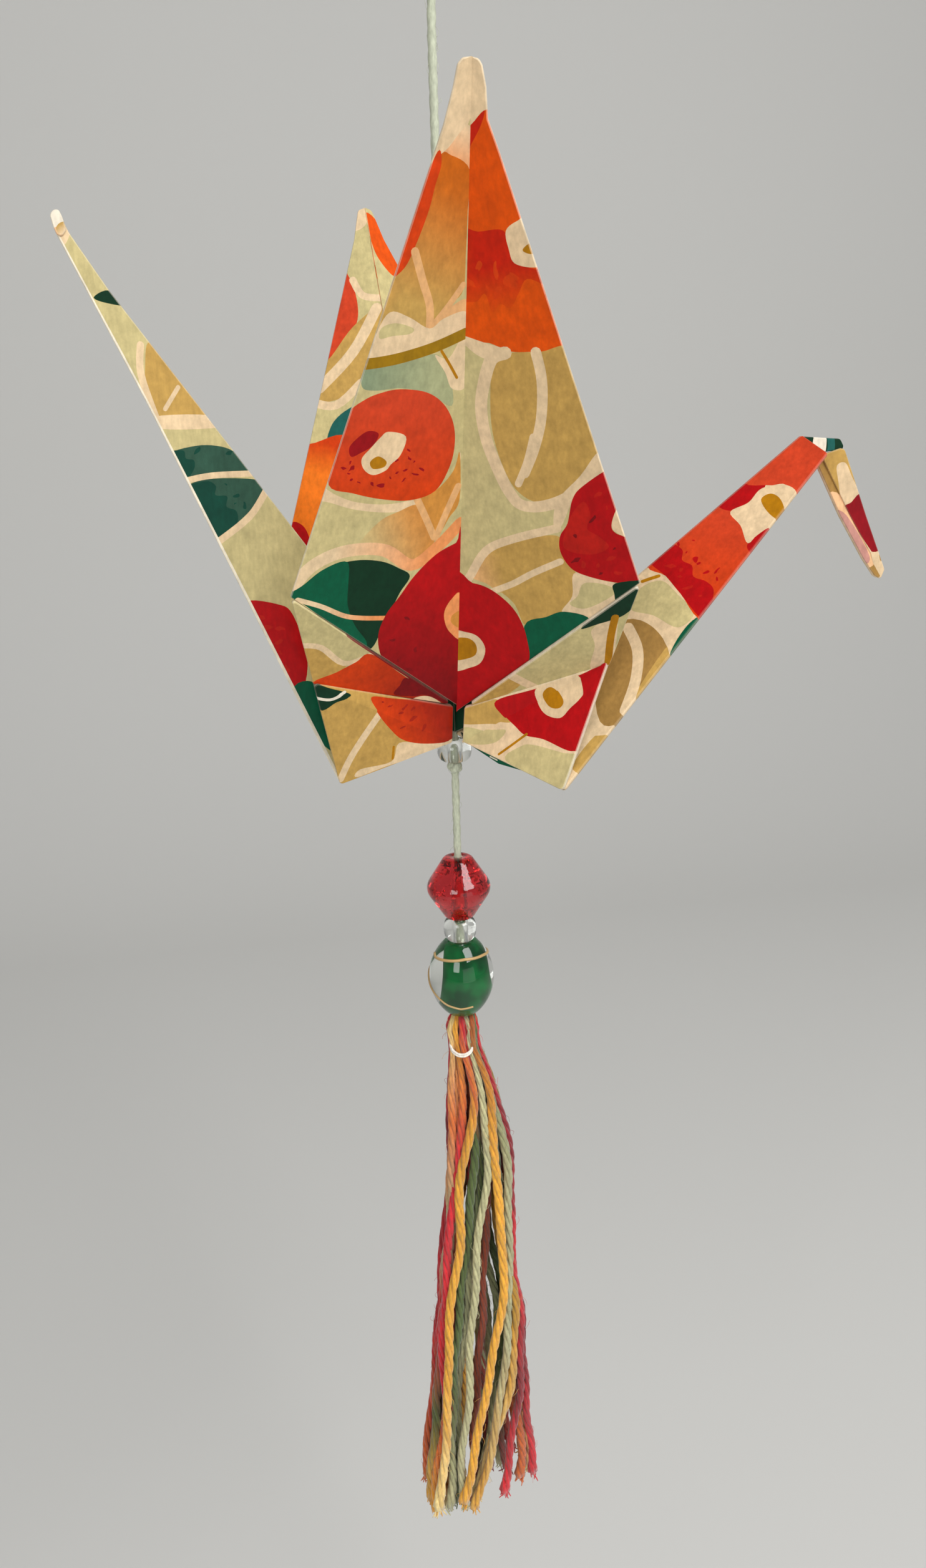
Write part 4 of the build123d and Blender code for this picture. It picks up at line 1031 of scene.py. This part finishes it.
loop_knot = tied_knot("loop_knot", LOOP_KNOT, 3.3, 2.6)
stop_knot = tied_knot("stop_knot", STOP_BEAD - (STOP_BEAD_H + STOP_KNOT_H) / 2, 2.2, STOP_KNOT_H)
cord_fuzz()


# Beads

TURN_STEPS = 72
BORE_R = 0.7
SEED_R, SEED_END_R, SEED_LIP, SEED_CHAMFER = 2.25, 1.05, 0.12, 0.15
BICONE_RIM_R, BICONE_END_R = 4.4, 1.9
FLAKES = 260
OVAL_RIM_R, OVAL_END_R = 4.5, 2.1
# The oval's core: radius and height over the bead's middle, and how far its body lies off centre.
CORE = [
    (1.1, -5.2), (2.0, -4.8), (2.3, -4), (2.2, -2), (2.1, 0), (2.1, 2), (2.0, 4), (1.65, 4.8), (1.0, 5.2),
]
CORE_SHIFT = 0.45
# The gold line: degrees round the bead from its start, and height over the bead's middle.
GOLD_START = 175
GOLD_LINE = [
    (0, 3.6), (15, 3.4), (95, 3.9), (143, 3.75), (185, 3.3), (275, 2.2), (350, 0.6), (370, -0.8),
    (413, -2.8), (442, -3.35), (468, -3.1),
]


def turned(name, outline, finish):
    """Ring turned from a closed outline of radius and height."""
    n = len(outline)
    angle = np.arange(TURN_STEPS) * 2 * math.pi / TURN_STEPS
    spots = [np.column_stack([r * np.cos(angle), r * np.sin(angle), np.full(TURN_STEPS, z)])
             for r, z in outline]
    faces = []
    for i in range(n):
        this, other = i * TURN_STEPS, (i + 1) % n * TURN_STEPS
        for k in range(TURN_STEPS):
            m = (k + 1) % TURN_STEPS
            faces.append((this + k, this + m, other + m, other + k))
    return mesh_piece(name, np.concatenate(spots), faces, finish)


clear_glass = glass("clear_bead_glass", "#F4F6F2")[0]


def seed_bead(name, node, middle, height):
    """Clear seed bead: a fat ring with a straight bore."""
    half, lip = height / 2, BORE_R + SEED_LIP
    belly = []
    for t in np.linspace(-90, 90, 25):
        c, s = math.cos(math.radians(t)), math.sin(math.radians(t))
        swell = SEED_END_R + (SEED_R - SEED_END_R) * c**0.8
        belly.append((swell, middle + half * math.copysign(abs(s) ** 0.9, s)))
    bead = turned(name, [(BORE_R, middle - half + SEED_CHAMFER), (lip, middle - half)] + belly
                  + [(lip, middle + half), (BORE_R, middle + half - SEED_CHAMFER)], clear_glass)
    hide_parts(node)


seed_bead("stop_bead_ring", "stop_bead", STOP_BEAD, STOP_BEAD_H)
seed_bead("spacer_bead_ring", "spacer_bead", SPACER_BEAD, SPACER_BEAD_H)


def soft_corner(a, b, c, radius):
    """Points round a corner of an outline."""
    a, b, c = np.array(a), np.array(b), np.array(c)
    start = b + (a - b) / np.linalg.norm(a - b) * radius
    end = b + (c - b) / np.linalg.norm(c - b) * radius
    return [tuple((1 - t) ** 2 * start + 2 * t * (1 - t) * b + t**2 * end) for t in np.linspace(0, 1, 7)]


def red_crackle_glass():
    """Clear red glass crazed by quenching: its skin ripples and breaks up what is seen through it."""
    red, skin = glass("red_crackle_glass", "#DE3036", 0.06, 1.5)
    where = add(red, "TexCoord").outputs["Object"]
    crackle = add(red, "TexNoise", {"Scale": 1 / (0.9 * MM), "Detail": 2}, Vector=where)
    relief = add(red, "Bump", {"Strength": 0.35, "Distance": 0.12 * MM}, Height=crackle.outputs["Fac"])
    join(red, relief.outputs["Normal"], skin, "Normal")
    return red


def crackle_flakes():
    """Faces of the cracks inside the red bead, which catch the light as sparks."""
    half = BICONE_H / 2
    chance = random.Random(7)
    spots, faces = [], []
    for _ in range(FLAKES):
        z = chance.uniform(-3.7, 3.7)
        room = (BICONE_END_R + (BICONE_RIM_R - BICONE_END_R) * (1 - abs(z) / half)) * 0.86
        turn = chance.uniform(0, 2 * math.pi)
        r = chance.uniform(max(1.0, room * 0.6), max(1.1, room * 1.08))
        at = np.array([r * math.cos(turn), r * math.sin(turn), BICONE + z])
        u = np.array([chance.gauss(0, 1) for _ in range(3)])
        u /= np.linalg.norm(u)
        v = np.cross(u, [chance.gauss(0, 1) for _ in range(3)])
        v /= np.linalg.norm(v)
        thick = np.cross(u, v) * 0.04
        size = chance.uniform(0.18, 0.5)
        first = len(spots)
        spots += [at + u * size, at + v * size * 0.7, at - u * size * 0.8, at - v * size * 0.6,
                  at + thick, at - thick]
        for a, b in ((0, 1), (1, 2), (2, 3), (3, 0)):
            faces += [(first + a, first + b, first + 4), (first + b, first + a, first + 5)]
    bright = plain_finish("crackle_flake", "#FFC0B0", 0.15, 0.9)
    cracks = mesh_piece("bicone_crackle", spots, faces, bright, False)


def bicone_bead():
    """Red bicone with small bright cracks inside and a pale sleeve in the bore that stands in for the lit
    cord: painted light.
    """
    low, high = BICONE - BICONE_H / 2, BICONE + BICONE_H / 2
    rim, end = (BICONE_RIM_R, BICONE), BICONE_END_R
    outline = [(BORE_R, low)] + soft_corner((BORE_R, low), (end, low), rim, 0.6)
    outline += soft_corner((end, low), (BICONE_RIM_R + 0.25, BICONE), (end, high), 1.3)
    outline += soft_corner(rim, (end, high), (BORE_R, high), 0.6) + [(BORE_R, high)]
    bead = turned("bicone_bead_red", outline, red_crackle_glass())
    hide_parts("bicone_bead")
    crackle_flakes()
    # A pale sleeve in the bore, paler than the cord that runs through it, seen through the red glass as a lit
    # middle: painted light.
    inner, outer = 0.57, 0.69
    sleeve = [(inner, low + 0.1), (outer, low + 0.1), (outer, high - 0.1), (inner, high - 0.1)]
    lining = turned("bicone_bore", sleeve, plain_finish("bore_sleeve_painted_light", "#F4E8DC", 0.8))


bicone_bead()


def green_core_glass():
    """Soft opaque glass rod, clouded from bottle green to leaf green."""
    green, skin = material("green_core_glass")
    where = add(green, "TexCoord").outputs["Object"]
    cloud = add(green, "TexNoise", {"Scale": 1 / (3 * MM), "Detail": 2}, Vector=where)
    depth = add(green, "ValToRGB", Fac=cloud.outputs["Fac"])
    for element, at, colour in zip(depth.color_ramp.elements, (0.35, 0.7), ("#015026", "#029244")):
        element.position = at
        element.color = (*linear(colour), 1)
    join(green, depth.outputs["Color"], skin, "Base Color")
    skin.inputs["Roughness"].default_value = 0.5
    skin.inputs["Specular IOR Level"].default_value = 0.1
    return green


def oval_bead():
    """Lampwork oval: a green core off centre in clear glass, and a gold line wound round it."""
    half = OVAL_H / 2
    centre_r = (half**2 + OVAL_END_R**2 - OVAL_RIM_R**2) / (2 * (OVAL_END_R - OVAL_RIM_R))
    arc_r = OVAL_RIM_R - centre_r
    lean = np.linspace(-1, 1, 29) * math.asin(half / arc_r)
    wall = [(centre_r + arc_r * math.cos(t), OVAL + arc_r * math.sin(t)) for t in lean]
    case, skin = glass("clear_case_glass", "#F4F6F2", 0.01, 1.5)
    skin.inputs["Specular IOR Level"].default_value = 0.3
    shell = turned("oval_bead_case", [(BORE_R, OVAL - half)] + wall + [(BORE_R, OVAL + half)], case)
    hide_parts("oval_bead")

    profile = curve_through(CORE, False, 4) + np.array([0, OVAL])
    bore = BORE_R + 0.02
    outline = [(bore, profile[0][1])] + [tuple(p) for p in profile] + [(bore, profile[-1][1])]
    core = turned("oval_bead_core", outline, green_core_glass())
    for v in core.data.vertices:
        v.co.x += CORE_SHIFT * MM * min(1, max(0, math.hypot(v.co.x, v.co.y) / MM - 0.8))

    # Dull gold, soft enough to stay warm beside the bright glass.
    gold = plain_finish("gold_stringer", "#BC9A66", 0.35)
    turns = np.linspace(0, 1, 90)
    sweep = GOLD_LINE[-1][0]
    angle = math.radians(GOLD_START) + turns * math.radians(sweep)
    height = OVAL + np.interp(turns * sweep, *zip(*GOLD_LINE))
    r = centre_r + np.sqrt(arc_r**2 - (height - OVAL) ** 2) + 0.02
    line = np.column_stack([r * np.cos(angle), r * np.sin(angle), height])
    taper = np.interp(turns, [0, 0.4, 1], [1, 1, 0.7])
    wound = mesh_piece("oval_bead_gold", *round_thread(line, 0.4, 10, taper), gold)


oval_bead()


# Tassel

DYE = {
    "gold": "#D89C2C", "orange": "#D86A24", "red": "#C81E28", "maroon": "#7C1820", "moss": "#4C5C28",
    "sage": "#B4B084", "rust": "#8C3814", "straw": "#E6CB86",
}
DYE = {name: np.array(linear(code)) for name, code in DYE.items()}
TASSEL_LENGTH, TASSEL_HEAD_H = 88.5, 6.8
FLOSS_PLIES, PLY_SIDES = 4, 6
# Width of a ply, and how far it lies from the strand's middle, as shares of the strand's width.
PLY_WIDTH, PLY_LAY = 0.52, 0.29
TUFTS, TUFT_SIDES, TUFT_D = 13, 4, 0.34
# Drops below the tassel's top, and how much a strand's place to the front grows at each one.
DROPS = [0.5, 2.6, 5.6, 14, 26, 40, 54, 68, 80, 87]
SPREAD = [0.4, 0.8, 0.7, 0.9, 1.1, 1.4, 1.7, 2.0, 2.3, 2.4]
# Front strands: dyes from head to end, place to the front, and place to the side at each drop.
STRANDS = [
    ("straw orange sage red moss gold", 0.8, [-1.3, -2.0, -1.7, -2.1, -2.4, -3.2, -5.0, -6.4, -7.5, -7.7]),
    ("gold red red red gold", 1.2, [-0.9, -1.3, -1.0, -0.6, -1.8, -3.6, -5.0, -4.8, -6.6, -7.1]),
    ("red gold gold gold straw", 1.9, [-0.4, -0.4, -0.3, 0.8, -1.0, -2.1, -4.0, -4.6, -6.1, -6.9]),
    ("red moss moss moss sage", 1.1, [0.0, 0.3, 0.3, 1.4, 0.8, -0.8, -2.9, -3.6, -4.6, -4.9]),
    ("sage sage sage", 1.6, [0.2, 0.7, 0.7, 2.3, 2.4, 0.9, -0.4, -1.9, -2.8, -3.2]),
    ("maroon moss sage moss", 0.6, [0.2, 0.6, 0.7, 1.8, 1.9, 0.1, -1.5, -2.7, -3.4, -3.6]),
    ("maroon rust rust rust", 0.3, [1.0, 1.2, 1.2, 2.3, 2.9, 2.2, 1.3, -0.2, -0.7, -0.8]),
    ("rust gold gold gold", 1.8, [1.0, 1.1, 1.2, 3.2, 3.8, 4.4, 3.5, 1.1, -1.1, -3.1]),
    ("moss sage sage gold", 1.4, [1.2, 1.4, 1.5, 3.6, 5.4, 5.3, 5.2, 3.4, 0.8, -0.9]),
    ("red maroon red maroon red", 0.6, [1.3, 1.8, 2.0, 4.5, 6.2, 6.1, 7.3, 6.9, 4.9, 3.8]),
    ("orange red maroon red", 0.1, [1.4, 1.9, 2.0, 3.8, 5.6, 5.8, 7.4, 7.8, 8.8, 9.3]),
    ("rust rust orange", -0.2, [1.3, 1.5, 1.7, 2.9, 4.5, 4.9, 6.6, 6.9, 7.6, 7.1]),
    ("moss moss gold straw", 0.9, [1.1, 1.3, 1.5, 2.7, 4.1, 5.0, 6.4, 5.2, 1.1, -0.4]),
]


def hank_of(strands):
    """The front strands, the same ones mirrored behind, and a few in between."""
    sides = np.array([side for _, _, side in strands])
    hank = list(strands)
    for dyes, front, side in strands:
        hank.append((" ".join(reversed(dyes.split())), -0.5 - front, sides.min(0) + sides.max(0) - side))
    for k, middle in enumerate(range(1, len(strands), 2)):
        between = (sides[middle] + sides[3 * k % len(strands)]) / 2
        hank.append((strands[k][0], -0.2 - 0.1 * k, between))
    return hank


def tassel():
    """Hank of four-ply floss dyed in runs of colour, doubled over the cord and hanging loose."""
    chance = random.Random(11)
    parts, tones = [], []
    for dyes, front, side in hank_of(STRANDS):
        end = TASSEL_LENGTH - 1.7 - chance.uniform(0, 4)
        drops = TASSEL_TOP - np.array(DROPS) * end / DROPS[-1]
        knots = np.column_stack([side, -front * np.array(SPREAD), drops])
        knots[3:, :2] += np.array([[chance.uniform(-0.25, 0.25) for _ in range(2)] for _ in DROPS[3:]])
        line, at = even(curve_through(knots, False, 10), 1.1)
        slack = np.interp(at, [0, 10, 30], [0, 0.08, 0.2])
        for k in range(2):
            line[:, k] += slack * np.sin(at * 2 * math.pi / chance.uniform(13, 24) + chance.uniform(0, 6))
        width = chance.uniform(1.15, 1.4)
        swell = np.interp(at, [0, 3, 6, 18, at[-1] - 4, at[-1]], [0.55, 0.65, 0.58, 1, 1, 1.35])
        run = [DYE[dye] * chance.uniform(0.9, 1.1) for dye in dyes.split()]
        phase, pitch = chance.uniform(0, 6), chance.uniform(9, 15)
        for ply in range(FLOSS_PLIES):
            mark = np.linspace(0, at[-1], len(run)) + chance.uniform(-4, 4)
            shade = np.column_stack([np.interp(at, mark, [r[k] for r in run]) for k in range(3)])
            turn = phase + 2 * math.pi * (ply / FLOSS_PLIES + at / pitch)
            lay = (width * PLY_LAY * swell)[:, None] * np.column_stack([np.cos(turn), np.sin(turn), 0 * turn])
            parts.append(round_thread(line + lay, width * PLY_WIDTH, PLY_SIDES, swell))
            tones.append(np.repeat(shade * chance.uniform(0.82, 1.15), PLY_SIDES, axis=0))
        for _ in range(TUFTS):
            off = np.array([chance.uniform(-0.5, 0.5), chance.uniform(-0.5, 0.5), 0]) * width
            far = chance.uniform(0.7, 1.6)
            lean = np.array([chance.gauss(0, 0.28), chance.gauss(0, 0.28), -1]) * far
            tuft = curve_through([line[-3] + off * 0.7, line[-1] + off, line[-1] + off + lean], False, 3)
            parts.append(round_thread(tuft, TUFT_D, TUFT_SIDES, np.linspace(1, 0.45, len(tuft))))
            tones.append(np.tile(shade[-1] * 1.1, (len(tuft) * TUFT_SIDES, 1)))
        hairs, places = fibres(chance, line, width / 2, STRAND_FIBRES, 1.6)
        parts += hairs
        tones += [np.tile(shade[i] * 1.15, (len(hair[0]), 1)) for hair, i in zip(hairs, places)]
    piece = mesh_piece("tassel_threads", *gathered(parts), spun_thread("dyed_floss", None, 0.35))
    tone(piece.data, "dye", "POINT", np.concatenate(tones))
    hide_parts("tassel")


tassel()


def binding():
    """White thread wound twice round the front of the hank, drooping where it crosses the face."""
    turns = np.linspace(0, 2.1, 140)
    angle = turns * 2 * math.pi
    height = TASSEL_TOP - TASSEL_HEAD_H + 1.5 + turns * 0.3 + 1.0 * np.sin(angle)
    line = np.column_stack([-0.4 + 1.6 * np.cos(angle), -0.7 + 1.5 * np.sin(angle), height])
    line, at = even(line, 0.12)
    thread = spun_thread("white_thread", "#EDE6DA")
    piece = mesh_piece("binding_thread", *twisted(line, at, 0.34, 2.0, 2, 10, 0.15), thread)
    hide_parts("tassel_binding")


binding()


# Stage, light and camera

# The sweep's floor, back wall and bend, in metres.
FLOOR, BACK, BEND_R = -0.36, 0.8, 0.3
# Each lamp's place and size in metres, and its power in watts.
LAMPS = (
    ("key", (0.35, -0.5, 0.5), 0.5, 6.7),
    ("fill", (-0.45, -0.85, 0.25), 0.4, 3.2),
    ("front", (0.3, -0.95, -0.2), 0.8, 1.6),
)
# The picture's height and the lens's focal length, both in pixels, and the eye's place in millimetres.
PICTURE_HEIGHT, FOCAL_LENGTH = 2514, 1850
EYE = (-23.57, -143.81, -71.73)
YAW, PITCH, ROLL = (math.radians(turn) for turn in (-9.7, -16.9, -1.7))


def studio():
    """Pale matt paper sweep and three soft lamps."""
    run = [(-1.2, FLOOR), (BACK - BEND_R, FLOOR)]
    run += [(BACK - BEND_R + BEND_R * math.sin(t), FLOOR + BEND_R - BEND_R * math.cos(t))
            for t in np.linspace(0, math.pi / 2, 16)[1:]]
    run += [(BACK, 1.4)]
    spots = [(x, y, z) for y, z in run for x in (-1.6, 1.6)]
    faces = [(2 * i, 2 * i + 1, 2 * i + 3, 2 * i + 2) for i in range(len(run) - 1)]
    mesh = bpy.data.meshes.new("sweep")
    mesh.from_pydata(spots, [], faces)
    mesh.polygons.foreach_set("use_smooth", [True] * len(faces))
    mesh.materials.append(plain_finish("pale_paper_sweep", "#D9D8D4", 0.9))
    sweep = bpy.data.objects.new("sweep", mesh)
    bpy.context.collection.objects.link(sweep)
    target = Vector((0, 0, -0.11))
    for name, place, size, power in LAMPS:
        lamp = bpy.data.lights.new(name, "AREA")
        lamp.energy, lamp.size = power, size
        light = bpy.data.objects.new(name, lamp)
        light.location = place
        light.rotation_euler = (target - Vector(place)).to_track_quat("-Z", "Y").to_euler()
        bpy.context.collection.objects.link(light)
    world = bpy.data.worlds.new("studio_air")
    world.use_nodes = True
    air = world.node_tree.nodes["Background"]
    air.inputs["Color"].default_value = (*linear("#F2F3F5"), 1)
    air.inputs["Strength"].default_value = 0.3
    bpy.context.scene.world = world
    bpy.context.scene.view_settings.view_transform = "Standard"


def camera():
    """Close and a little above, on the tail's side of the front wing."""
    lens = bpy.data.cameras.new("camera")
    lens.sensor_fit, lens.sensor_height = "VERTICAL", 36
    lens.lens = lens.sensor_height * FOCAL_LENGTH / PICTURE_HEIGHT
    lens.clip_start = 0.01
    ahead = Vector((-math.sin(YAW) * math.cos(PITCH), math.cos(YAW) * math.cos(PITCH), math.sin(PITCH)))
    level = Vector((math.cos(YAW), math.sin(YAW), 0))
    rise = level.cross(ahead)
    right = math.cos(ROLL) * level + math.sin(ROLL) * rise
    up = math.cos(ROLL) * rise - math.sin(ROLL) * level
    eye = bpy.data.objects.new("camera", lens)
    columns = (*right, 0), (*up, 0), (*-ahead, 0), (*[x * MM for x in EYE], 1)
    eye.matrix_world = Matrix(columns).transposed()
    bpy.context.collection.objects.link(eye)
    bpy.context.scene.camera = eye


studio()
camera()
